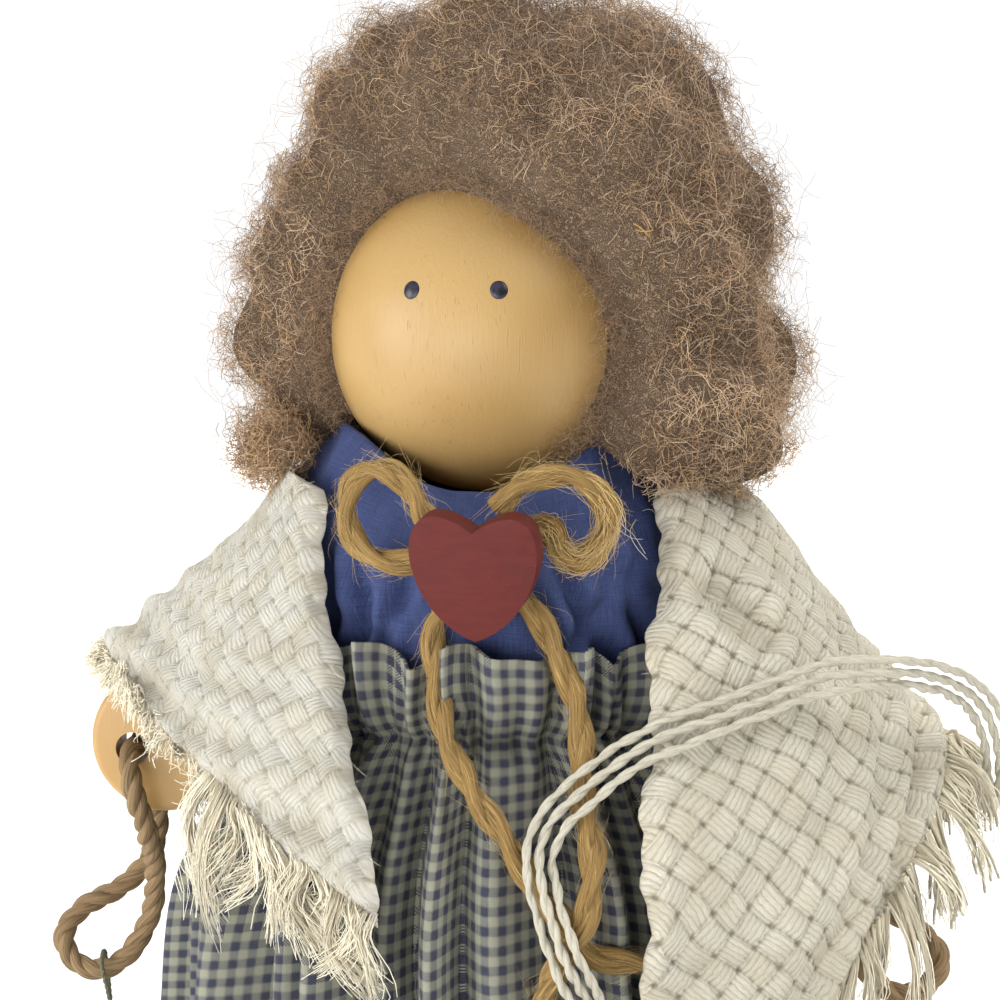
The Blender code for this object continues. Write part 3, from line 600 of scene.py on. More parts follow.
def make_world():
    """Light from all round: a pale sky and a band at the height of the floor."""
    world = bpy.data.worlds.new("studio")
    world.use_nodes = True
    bpy.context.scene.world = world
    nodes = world.node_tree.nodes
    links = world.node_tree.links
    where = nodes.new("ShaderNodeTexCoord")
    parts = nodes.new("ShaderNodeSeparateXYZ")
    band = nodes.new("ShaderNodeMapRange")
    sky = nodes.new("ShaderNodeMapRange")
    both = nodes.new("ShaderNodeMath")
    for ramp, values in ((band, (0.12, 0.05, 0.0, 0.9)), (sky, (0.10, 0.90, 0.14, 0.80))):
        for socket, value in zip(("From Min", "From Max", "To Min", "To Max"), values):
            ramp.inputs[socket].default_value = value
        links.new(parts.outputs["Z"], ramp.inputs["Value"])
    links.new(where.outputs["Generated"], parts.inputs[0])
    links.new(band.outputs[0], both.inputs[0])
    links.new(sky.outputs[0], both.inputs[1])
    links.new(both.outputs[0], nodes["Background"].inputs["Strength"])
    nodes["Background"].inputs["Color"].default_value = (1, 1, 1, 1)


def make_floor():
    bpy.ops.object.select_all(action="DESELECT")
    bpy.ops.mesh.primitive_plane_add(size=3, location=(0, 0, -0.0005))
    floor = bpy.context.object
    floor.name = "floor"
    paper = Finish("floor_paper", (0.92, 0.92, 0.91, 1), 0.9)
    grain = paper.noise(paper.place(), 90, 2)
    paper.set("Base Color", paper.mix((0.91, 0.91, 0.90, 1), (0.94, 0.94, 0.93, 1), grain))
    floor.data.materials.append(paper.material)


make_camera()
make_lamps()
make_world()
make_floor()


def make_cords():
    """Bow, tails, yarn, hand cords and tie thread, all wound from plies."""
    rng = np.random.default_rng(11)
    jute = twisted_fibre("jute", srgb(58, 40, 17), srgb(152, 120, 64), srgb(222, 192, 128))
    hair = Finish("jute_hair", srgb(210, 180, 122), 0.7)
    cotton = twisted_fibre("cotton_yarn", srgb(172, 165, 140), srgb(224, 218, 198), srgb(246, 241, 226), 3.0)
    brown = twisted_fibre("brown_cord", srgb(84, 65, 42), srgb(152, 125, 88), srgb(198, 173, 134))
    grey = twisted_fibre("grey_thread", srgb(84, 84, 66), srgb(136, 136, 112), srgb(176, 176, 152), 3.0)
    lines = {}
    for name, points in BOW.items():
        centre = route(points, 0.0007)
        lines[name] = centre
        cord = cord_piece("twine_" + name, centre, JUTE_DIAMETER, 2, JUTE_PLY_RADIUS, 0.022, jute, rng, 14, 0.30)
        looped = "loop" in name
        loose = [fuzz("fibres_" + name, centre, 330 if looped else 300, 0.0020, 0.0058, 0.00003, hair, rng)]
        if name == "bow_loop_left":
            loose.append(tuft("tuft_" + name, centre[len(centre) // 3:], 520, 0.0031, 11, 0.00006, hair, rng))
        belong(cord, "body", name)
        for piece in loose:
            belong(piece, "body")
    turns = np.linspace(0, 2 * math.pi * 1.9, 90)
    wrap = np.stack((KNOT_CENTRE[0] + 0.0028 * (turns / turns[-1] * 2 - 1), KNOT_CENTRE[1] - 0.0009 * np.cos(turns),
                     KNOT_CENTRE[2] + 0.0027 * np.sin(turns)), axis=1)
    knot = cord_piece("twine_knot", wrap, JUTE_DIAMETER, 2, JUTE_PLY_RADIUS, 0.017, jute, rng, 12)
    belong(knot, "body", "bow_knot")
    for name, points in YARNS.items():
        centre = route(points, 0.0005)
        lines[name] = centre
        cord = cord_piece("cotton_" + name, centre, YARN_DIAMETER, 2, 0.00060, 0.0090, cotton, rng, 8, 0.35)
        belong(cord, "body", name)
    for side, word in ((1, "right"), (-1, "left")):
        centre = route([(side * x, y, z) for x, y, z in HAND_CORD], 0.0007)
        cord = cord_piece("brown_cord_" + word, centre, HAND_CORD_DIAMETER, 3, 0.00125, 0.013, brown, rng, 12)
        belong(cord, "arm_" + word, "hand_cord_" + word)
    centre = route(TIE_THREAD, 0.0004)
    cord = cord_piece("grey_tie_thread", centre, THREAD_DIAMETER, 2, 0.00032, 0.0024, grey, rng, 6)
    belong(cord, "arm_right", "tie_thread")
    return lines


cord_lines = make_cords()


# Wooden pieces

def begin(name, add, **settings):
    """A new primitive to shape, alone in the selection, with its place in its mesh."""
    bpy.ops.object.select_all(action="DESELECT")
    add(**settings)
    piece = bpy.context.object
    piece.name = name
    piece.data.name = name
    bpy.ops.object.transform_apply(location=True, rotation=True, scale=True)
    return piece


def editing(piece):
    bpy.ops.object.select_all(action="DESELECT")
    bpy.context.view_layer.objects.active = piece
    piece.select_set(True)
    bpy.ops.object.mode_set(mode="EDIT")
    bpy.ops.mesh.select_all(action="SELECT")


def done():
    bpy.ops.object.mode_set(mode="OBJECT")


def cut_away(piece, tool):
    hole = piece.modifiers.new("hole", "BOOLEAN")
    hole.operation = "DIFFERENCE"
    hole.solver = "EXACT"
    hole.object = tool
    bpy.context.view_layer.objects.active = piece
    bpy.ops.object.modifier_apply(modifier="hole")
    bpy.data.objects.remove(tool)


def drill(piece, radius, start, end):
    """Take a round hole out of a piece."""
    start = Vector(start)
    end = Vector(end)
    turn = (end - start).to_track_quat("Z", "Y").to_euler()
    tool = begin("drill", bpy.ops.mesh.primitive_cylinder_add, vertices=48, radius=radius,
                 depth=(end - start).length, location=(start + end) / 2, rotation=turn)
    cut_away(piece, tool)


def round_edges(piece, width, segments, sharper_than):
    bevel = piece.modifiers.new("round", "BEVEL")
    bevel.width = width
    bevel.segments = segments
    bevel.limit_method = "ANGLE"
    bevel.angle_limit = math.radians(sharper_than)
    bpy.context.view_layer.objects.active = piece
    bpy.ops.object.modifier_apply(modifier="round")


def smooth(piece, angle):
    bpy.ops.object.select_all(action="DESELECT")
    bpy.context.view_layer.objects.active = piece
    piece.select_set(True)
    bpy.ops.object.shade_smooth_by_angle(angle=math.radians(angle))


def dress(piece, finish, body, node=None):
    piece.data.materials.clear()
    piece.data.materials.append(finish.material)
    belong(piece, body, node)


HEAD_HOLE_DEPTH = 0.0227
# Name, azimuth and elevation in degrees, and half width of each eye
EYES = [("right", -23.7, 18.4, 0.00168), ("left", 8.5, 18.9, 0.00172)]
EYE_HALF_HEIGHT = 0.00180
HEART_WIDTH = 0.023
HEART_THICKNESS = 0.005
HEART_PLACE = (0.0024, -0.0514, 0.1836)
HEART_TURN = (math.radians(7), 0, math.radians(-9))
SHOE_PLACE = (0.0165, -0.041)
SHOE_SIZE = (0.027, 0.046, 0.036)
BASE_CLEARANCE = 0.0385


def make_head():
    """Ball that is flat below and hollow above the dowel, with two painted eyes."""
    skin = painted_wood("face_paint", srgb(166, 131, 76), srgb(179, 146, 92))
    head = begin("wooden_head", bpy.ops.mesh.primitive_uv_sphere_add, segments=128, ring_count=80,
                 radius=HEAD_RADIUS, location=HEAD_CENTRE)
    editing(head)
    bpy.ops.mesh.bisect(plane_co=(0, 0, HEAD_FLAT_Z), plane_no=(0, 0, 1), use_fill=True, clear_inner=True)
    bpy.ops.mesh.inset(thickness=0.0004)
    bpy.ops.mesh.extrude_region_move(TRANSFORM_OT_translate={"value": (0, 0, HEAD_HOLE_DEPTH)})
    done()
    smooth(head, 40)
    dress(head, skin, "head", "head")
    ink = Finish("eye_paint", srgb(24, 22, 34), 0.32)
    cloud = ink.noise(ink.place(), 900, 2)
    ink.set("Base Color", ink.mix(srgb(18, 16, 26), srgb(44, 42, 62), cloud.between(0.35, 0.75)))
    ink.set("Roughness", 0.24 + 0.2 * cloud)
    for word, azimuth, elevation, width in EYES:
        way = direction(math.radians(azimuth), math.radians(elevation))
        eye = begin("eye_" + word, bpy.ops.mesh.primitive_uv_sphere_add, segments=40, ring_count=24, radius=1,
                    scale=(width, EYE_HALF_HEIGHT, 0.0006))
        editing(eye)
        bpy.ops.mesh.bisect(plane_co=(0, 0, -0.0003), plane_no=(0, 0, 1), use_fill=True, clear_inner=True)
        done()
        eye.rotation_euler = way.to_track_quat("Z", "Y").to_euler()
        eye.location = Vector(HEAD_CENTRE) + way * (HEAD_RADIUS - 0.00022)
        bpy.ops.object.transform_apply(location=True, rotation=True, scale=True)
        smooth(eye, 60)
        dress(eye, ink, "head")


def make_arms():
    """Flat paddles with rounded edges, drilled for the shoulder pin and for the hand's cord."""
    paint = painted_wood("arm_paint", srgb(170, 131, 76), srgb(190, 154, 96), 0.6)
    for side, word in ((-1, "right"), (1, "left")):
        arm = begin("wooden_arm_" + word, bpy.ops.mesh.primitive_cylinder_add, vertices=72,
                    radius=SHOULDER_END_RADIUS, depth=ARM_THICKNESS, rotation=(math.pi / 2, 0, 0),
                    location=(side * SHOULDER[0], ARM_Y, SHOULDER[1]))
        editing(arm)
        bpy.ops.mesh.primitive_cylinder_add(vertices=96, radius=HAND_RADIUS, depth=ARM_THICKNESS,
                                            rotation=(math.pi / 2, 0, 0), location=(side * HAND[0], ARM_Y, HAND[1]))
        bpy.ops.mesh.select_all(action="SELECT")
        bpy.ops.mesh.convex_hull()
        bpy.ops.mesh.dissolve_limited(angle_limit=math.radians(0.5))
        done()
        round_edges(arm, 0.0016, 4, 50)
        for radius, (x, z) in ((PIN_HOLE_RADIUS, SHOULDER), (HAND_HOLE_RADIUS, HAND_HOLE)):
            drill(arm, radius, (side * x, ARM_Y - 0.02, z), (side * x, ARM_Y + 0.02, z))
        smooth(arm, 35)
        dress(arm, paint, "arm_" + word, "arm_" + word)


def make_heart():
    """Flat heart cut from a curve, with softened edges."""
    unit_size = HEART_WIDTH / 32
    paint = matt_paint("heart_paint", srgb(84, 27, 23), srgb(92, 32, 27))
    heart = begin("painted_heart", bpy.ops.mesh.primitive_circle_add, vertices=140, radius=1, fill_type="NGON")
    count = len(heart.data.vertices)
    for i, vert in enumerate(heart.data.vertices):
        t = 2 * math.pi * i / count
        x = 16 * math.sin(t) * abs(math.sin(t))
        z = 1.25 * (13 * math.cos(t) - 3.5 * math.cos(2 * t) - 2 * math.cos(3 * t) + 1.9)
        vert.co = (x * unit_size, -HEART_THICKNESS / 2, z * unit_size)
    editing(heart)
    bpy.ops.mesh.extrude_region_move(TRANSFORM_OT_translate={"value": (0, HEART_THICKNESS, 0)})
    bpy.ops.mesh.select_all(action="SELECT")
    bpy.ops.mesh.normals_make_consistent(inside=False)
    done()
    round_edges(heart, 0.0005, 3, 60)
    heart.rotation_euler = HEART_TURN
    heart.location = HEART_PLACE
    bpy.ops.object.transform_apply(location=True, rotation=True, scale=True)
    smooth(heart, 35)
    dress(heart, paint, "body", "heart")


def make_shoes():
    """Rounded toes on thin soles, cut out behind to go round the base of the body."""
    paint = matt_paint("shoe_paint", srgb(34, 28, 24), srgb(52, 43, 37))
    for side, word in ((-1, "right"), (1, "left")):
        x, y = side * SHOE_PLACE[0], SHOE_PLACE[1]
        shoe = begin("painted_shoe_" + word, bpy.ops.mesh.primitive_uv_sphere_add, segments=64, ring_count=40,
                     radius=0.5, scale=SHOE_SIZE, location=(x, y, 0))
        editing(shoe)
        bpy.ops.mesh.bisect(plane_co=(0, 0, 0.003), plane_no=(0, 0, 1), use_fill=True, clear_inner=True)
        bpy.ops.mesh.extrude_region_move(TRANSFORM_OT_translate={"value": (0, 0, -0.0006)})
        bpy.ops.transform.resize(value=(1.03, 1.03, 1), center_override=(x, y, 0.0024))
        bpy.ops.mesh.extrude_region_move(TRANSFORM_OT_translate={"value": (0, 0, -0.0022)})
        done()
        round_edges(shoe, 0.0004, 2, 45)
        drill(shoe, BASE_CLEARANCE, (0, 0, -0.01), (0, 0, 0.05))
        smooth(shoe, 40)
        dress(shoe, paint, "body", "shoe_" + word)


make_head()
make_arms()
make_heart()
make_shoes()
timber = bare_wood("turned_wood")
for node in ("torso", "neck_dowel", "shoulder_pin_right", "shoulder_pin_left"):
    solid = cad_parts[node]
    solid.data.materials.clear()
    solid.data.materials.append(timber.material)


# Cloth

def around(angle, radius, height):
    """Points at an angle from the front, anticlockwise from above."""
    return np.stack((radius * np.sin(angle), -radius * np.cos(angle), height), axis=-1)


def grid_normals(points, closed):
    """Unit normals of a grid whose rows run down and whose columns run anticlockwise from above."""
    if closed:
        across = np.roll(points, -1, axis=1) - np.roll(points, 1, axis=1)
    else:
        across = np.gradient(points, axis=1)
    return unit(np.cross(np.gradient(points, axis=0), across))


def blurred(field, times, closed):
    for _ in range(times):
        padded = np.pad(field, ((1, 1), (0, 0)), mode="edge")
        field = (padded[:-2] + 2 * field + padded[2:]) / 4
        padded = np.pad(field, ((0, 0), (1, 1)), mode="wrap" if closed else "edge")
        field = (padded[:, :-2] + 2 * field + padded[:, 2:]) / 4
    return field


def pressed(points, lines, reach, closed, times=2):
    """Push cloth in towards the doll's middle where cords lie on it."""
    push = np.zeros(points.shape[:2])
    for line in lines:
        for spot in line[::4]:
            away = np.linalg.norm(points - spot, axis=2)
            push = np.maximum(push, reach - away)
    push = np.maximum(push, blurred(push, times, closed))
    inward = points * np.array((-1.0, -1.0, 0.0))
    return points + unit(inward) * push[..., None]


def shell(name, outside, inside, lie, finish, closed):
    """Closed cloth of two layers; the inner layer has every second point. lie has one more column if closed."""
    rows, columns, _ = outside.shape
    inside = inside[::2, ::2]
    inner_rows, inner_columns, _ = inside.shape
    start = rows * columns
    verts = np.concatenate((outside.reshape(-1, 3), inside.reshape(-1, 3)))

    def outer(i, j):
        return i * columns + j % columns

    def inner(i, j):
        return start + i * inner_columns + j % inner_columns

    def quads(index, count_i, count_j, step, turned):
        i, j = np.meshgrid(np.arange(count_i), np.arange(count_j), indexing="ij")
        i = i.ravel()
        j = j.ravel()
        order = ((i, j), (i + 1, j), (i + 1, j + 1), (i, j + 1))
        if turned:
            order = order[::-1]
        faces = np.stack([index(a, b) for a, b in order], axis=1)
        places = np.stack([lie[np.minimum(a * step, rows - 1), b * step] for a, b in order], axis=1)
        return faces, places.reshape(-1, 2)

    spans = columns if closed else columns - 1
    inner_spans = inner_columns if closed else inner_columns - 1
    groups = [quads(outer, rows - 1, spans, 1, False), quads(inner, inner_rows - 1, inner_spans, 2, True)]

    def rim(i, j, down, right, turned):
        """Faces of five corners between three points of the outer edge and two of the inner one."""
        spots = [(i + k * down, j + k * right) for k in range(3)]
        ring = [outer(*spot) for spot in spots] + [inner(a // 2, b // 2) for a, b in spots[::-2]]
        at = [lie[spot] for spot in spots + spots[::-2]]
        if turned:
            ring = ring[::-1]
            at = at[::-1]
        groups.append((np.stack(ring, axis=1), np.stack(at, axis=1).reshape(-1, 2)))

    for row, turned in ((0, False), (rows - 1, True)):
        rim(row, 2 * np.arange(inner_spans), 0, 1, turned)
    if not closed:
        for column, turned in ((0, True), (columns - 1, False)):
            rim(2 * np.arange(inner_rows - 1), column, 1, 0, turned)
    faces = [group for group, _ in groups]
    places = np.concatenate([place for _, place in groups])
    return add_mesh(name, verts, faces, finish, places)


def fold(phase):
    """Rounded outside and creased inside, from -1 to 1."""
    return 2 * np.abs(np.cos(phase / 2)) ** 1.4 - 1


# Height, radius, and depths of the broad swells and of the gathered folds of the skirt, in millimetres
SKIRT_ROWS = [
    (168.5, 46.0, 1.4, 2.7), (165.0, 45.8, 1.3, 2.8), (159.5, 44.8, 1.0, 2.6), (155.0, 43.3, 0.6, 2.1),
    (152.6, 41.9, 0.4, 1.4), (151.0, 40.5, 0.2, 0.8), (149.4, 42.0, 0.4, 1.8), (147.0, 44.2, 0.8, 3.0),
    (142.0, 47.6, 1.5, 4.0), (136.0, 52.4, 2.2, 4.4), (129.0, 57.6, 2.8, 4.4), (116.0, 61.6, 3.2, 4.7),
    (92.0, 63.2, 3.6, 4.7), (70.0, 64.3, 3.9, 4.4), (45.0, 65.5, 4.3, 4.1), (20.0, 66.7, 4.7, 3.8),
]
SKIRT_PINCH = 0.151
SKIRT_SWELLS = 15
SKIRT_FOLDS = 29
SKIRT_THICKNESS = 0.0007
CORD_PRESS = 0.0031


def make_skirt(lines):
    """Skirt with a ruffle above its gathering line; the cords on it press it in."""
    columns = 680
    rows = 101
    angle = 2 * np.pi * (np.arange(columns) - columns / 2) / columns
    share = np.linspace(0, 1, rows) ** 1.25
    table = spline(SKIRT_ROWS, share * (len(SKIRT_ROWS) - 1)) * MM
    height, radius, swell, gather = [table[:, k][:, None] for k in range(4)]
    angle = np.broadcast_to(angle, (rows, columns))
    under = np.exp(-((np.abs(angle) - UNDERARM_ANGLE) / UNDERARM_SPREAD) ** 2)
    above = height > SKIRT_PINCH
    rise = np.clip((height - SKIRT_PINCH) / 0.015, 0, 1)
    z = np.where(above, SKIRT_PINCH + (height - SKIRT_PINCH) * (1 - 0.95 * under), height)
    radius = radius - 0.002 * under * above
    calm = 1 - 0.7 * under * above
    z = z - UNDERARM_DIP * under * np.clip((z - 0.060) / 0.052, 0, 1)
    wave = np.cos(SKIRT_SWELLS * angle + 0.15 * np.sin(3 * angle + 20 * height))
    phase = SKIRT_FOLDS * angle + 1.5 * np.sin(3 * angle + 1.0) + 1.2 * np.sin(7 * angle + 2.2)
    phase = phase + 0.7 * np.sin(11 * angle + 0.7) + 0.35 * np.sin(5 * angle + 60 * height)
    phase = phase + 0.5 * rise * np.sin(9 * angle + 1)
    uneven = 1 + 0.28 * np.sin(5 * angle + 1.0) + 0.22 * np.sin(13 * angle + 2.0)
    pinch = 0.0007 * np.exp(-((height - SKIRT_PINCH) / 0.005) ** 2) * np.cos(66 * angle + 1.3 * np.sin(9 * angle))
    small = fold(2 * phase + 1.7 * np.sin(4 * angle) + 1.1) * np.exp(-((height - 0.156) / 0.011) ** 2)
    depth = swell * (wave + 0.35 * wave * wave - 0.35) + gather * uneven * fold(phase) + pinch + 0.0013 * small
    z = z + 0.0021 * rise * np.sin(phase * 0.5 + 1.2) * calm + 0.0012 * rise * np.sin(8 * angle + 0.4)
    hem = np.exp(-((height - 0.0245) / 0.0012) ** 2)
    slim = np.abs(np.sin(angle)) ** 3 * soft_step(SKIRT_PINCH - height, 0.004, 0.024)
    depth = depth - slim * (0.8 * gather + 0.0024)
    points = around(angle, radius + calm * depth - 0.0004 * hem, z)
    points = pressed(points, lines, CORD_PRESS, True)
    inside = points - grid_normals(points, True) * SKIRT_THICKNESS
    steps = np.linalg.norm(np.roll(points, -1, axis=1) - points, axis=2)
    along = np.concatenate((np.zeros((rows, 1)), np.cumsum(steps, axis=1)), axis=1)
    full_phase = np.concatenate((phase, phase[:, :1] + 2 * np.pi * SKIRT_FOLDS), axis=1)
    ridge = np.round(full_phase / (2 * np.pi))
    middle = int(0.62 * rows)
    across = np.empty_like(along)
    for i in range(rows):
        own = np.interp(2 * np.pi * ridge[i], full_phase[i], along[i])
        kept = np.interp(2 * np.pi * ridge[i], full_phase[middle], along[middle])
        across[i] = kept + along[i] - own
    front = slice(columns // 2 - 60, columns // 2 + 60)
    drop = np.concatenate(([0], np.cumsum(np.linalg.norm(np.diff(points[:, front], axis=0), axis=2).mean(1))))
    lie = np.stack(np.broadcast_arrays(across, drop[:, None]), axis=-1) / MM
    skirt = shell("gingham_skirt", points, inside, lie, gingham(), True)
    belong(skirt, "body", "skirt")


# Radius, height, fold depth and share of the collar's lift, in millimetres, from the blouse's hem to inside its neck
BLOUSE_ROWS = [
    (38.1, 146.0, 0.2, 0), (38.5, 152.0, 0.4, 0), (39.3, 159.0, 0.9, 0), (40.3, 166.0, 1.0, 0), (40.9, 173.0, 0.8, 0),
    (40.6, 179.0, 0.6, 0.05), (38.9, 184.0, 0.5, 0.2), (36.0, 188.0, 0.4, 0.5), (32.9, 191.0, 0.3, 0.8),
    (30.4, 193.2, 0.2, 0.95), (28.9, 194.6, 0.1, 1), (27.9, 194.9, 0.1, 1), (27.2, 194.2, 0.1, 1),
    (26.0, 193.0, 0, 0.9), (22.5, 191.6, 0, 0.5),
]
COLLAR_LIFT = 0.010
BLOUSE_THICKNESS = 0.0006
ARMHOLE_SIZE = (0.045, 0.0146, 0.0405)
ARMHOLE_PLACE = (0.0375, 0.168)
# Creases down the front of the blouse: place round it and width in degrees, and depth in millimetres
BLOUSE_CREASES = [(-43, 4, 2.0), (-31, 2.6, 2.7), (-20, 2.2, 2.2), (26, 2.4, 2.6), (36, 3.5, 2.0), (47, 3, 2.2)]


def make_blouse():
    """Blouse with a collar that stands up away from the front, and armholes at the slots."""
    columns = 360
    rows = 73
    angle = 2 * np.pi * (np.arange(columns) - columns / 2) / columns
    table = spline(BLOUSE_ROWS, np.linspace(0, len(BLOUSE_ROWS) - 1, rows))[::-1]
    radius, height, depth = [table[:, k][:, None] * MM for k in range(3)]
    part = table[:, 3][:, None]
    lift = COLLAR_LIFT * soft_step(np.abs(angle), math.radians(6), math.radians(67))
    phase = 27 * angle + 1.2 * np.sin(3 * angle + 0.8) + 0.8 * np.sin(7 * angle)
    drag = 0.5 * MM * np.sin(9 * angle + 900 * height) * soft_step(height, 0.150, 0.170)
    puff = depth * (0.7 * np.sin(phase) + 0.5 * np.sin(11 * angle + 1.0 + 60 * height)) + 0.6 * drag
    for place, wide, deep in BLOUSE_CREASES:
        away = (np.degrees(angle) - place - 3 * np.sin(260 * height + place)) / wide
        fade = soft_step(height, 0.150, 0.160) * (1 - soft_step(height, 0.176, 0.190))
        puff = puff + deep * MM * fade * (0.5 * np.exp(-((np.abs(away) - 2.2) / 1.2) ** 2) - np.exp(-away * away))
    points = around(np.broadcast_to(angle, (rows, columns)), radius + puff, height + lift * part)
    inside = points - grid_normals(points, True) * BLOUSE_THICKNESS
    width = lengths_along(np.concatenate((points[40], points[40, :1])))
    drop = np.concatenate(([0], np.cumsum(np.linalg.norm(np.diff(points, axis=0), axis=2).mean(1))))
    lie = np.stack(np.broadcast_arrays(width[None, :] / MM, drop[:, None] / MM), axis=-1)
    blouse = shell("cotton_blouse", points, inside, lie, chambray(), True)
    for side in (-1, 1):
        tool = begin("armhole", bpy.ops.mesh.primitive_cube_add, size=1, scale=ARMHOLE_SIZE,
                     location=(side * ARMHOLE_PLACE[0], ARM_Y, ARMHOLE_PLACE[1]))
        cut_away(blouse, tool)
    belong(blouse, "body", "blouse")


make_skirt([cord_lines[name] for name in cord_lines if "loop" not in name])
make_blouse()


def shawl_inside(across, along):
    """Inside of the shawl as rows from the neck down and columns over the ribs."""
    ribs = np.array(SHAWL_RIBS) * MM
    lines = spline(ribs.transpose(1, 0, 2), along * (ribs.shape[1] - 1))
    return spline(lines.transpose(1, 0, 2), across * (ribs.shape[0] - 1)).transpose(1, 0, 2)


def laid_flat(points, times=3000):
    """The cloth's own flat places, found by easing a fan of them until its threads have their lengths."""
    rows, columns, _ = points.shape
    wide = np.linalg.norm(np.diff(points, axis=1), axis=2).sum(1)
    deep = np.linalg.norm(np.diff(points, axis=0), axis=2)
    drop = np.concatenate((np.zeros((1, columns)), np.cumsum(deep, axis=0)))
    spread = (wide[-1] - wide[0]) / drop[-1].mean()
    reach = wide[0] / spread + drop
    turn = spread * np.linspace(-0.5, 0.5, columns)
    flat = np.stack((reach * np.sin(turn), -reach * np.cos(turn)), axis=-1)
    pairs = []
    every, early, late = slice(None), slice(0, -1), slice(1, None)
    for low, high in (((early, every), (late, every)), ((every, early), (every, late)),
                      ((early, early), (late, late)), ((early, late), (late, early))):
        pairs.append((low, high, np.linalg.norm(points[high] - points[low], axis=-1)))
    count = np.zeros((rows, columns, 1))
    for low, high, _ in pairs:
        count[low] += 1
        count[high] += 1
    for _ in range(times):
        move = np.zeros_like(flat)
        for low, high, length in pairs:
            gap = flat[high] - flat[low]
            now = np.linalg.norm(gap, axis=-1)
            pull = gap * (0.5 * (1 - length / np.maximum(now, 1e-9)))[..., None]
            move[low] += pull
            move[high] -= pull
        flat = flat + 1.6 * move / count
    return flat


def refine(grid, rows, columns):
    """A coarse grid of numbers read at finer places between its own."""
    lines = spline(grid, np.linspace(0, len(grid) - 1, rows))
    return spline(lines.transpose(1, 0, 2), np.linspace(0, grid.shape[1] - 1, columns)).transpose(1, 0, 2)


WEAVE_CELL = 0.0050
YARN_PRESS = 0.0014
# Ends of a crease across the left front, by X and Z
CREASE = np.array(((0.0427, 0.1795), (0.0530, 0.1700)))


def weave_height(cells):
    """Rise of the woven groups of threads over a map in cells, from 0 to 1."""
    whole = np.floor(cells)
    part = cells - whole
    over = (whole.sum(-1) % 2) == 1
    run = np.where(over, part[..., 0], part[..., 1])
    side = np.where(over, part[..., 1], part[..., 0])
    return 0.84 * np.sin(np.pi * run) ** 0.55 + 0.16 * np.sin(np.pi * side) ** 0.35


def across_of(ways, rng):
    """A random unit vector across each direction."""
    side = rng.normal(0, 1, ways.shape)
    return unit(side - (side * ways).sum(-1, keepdims=True) * ways)


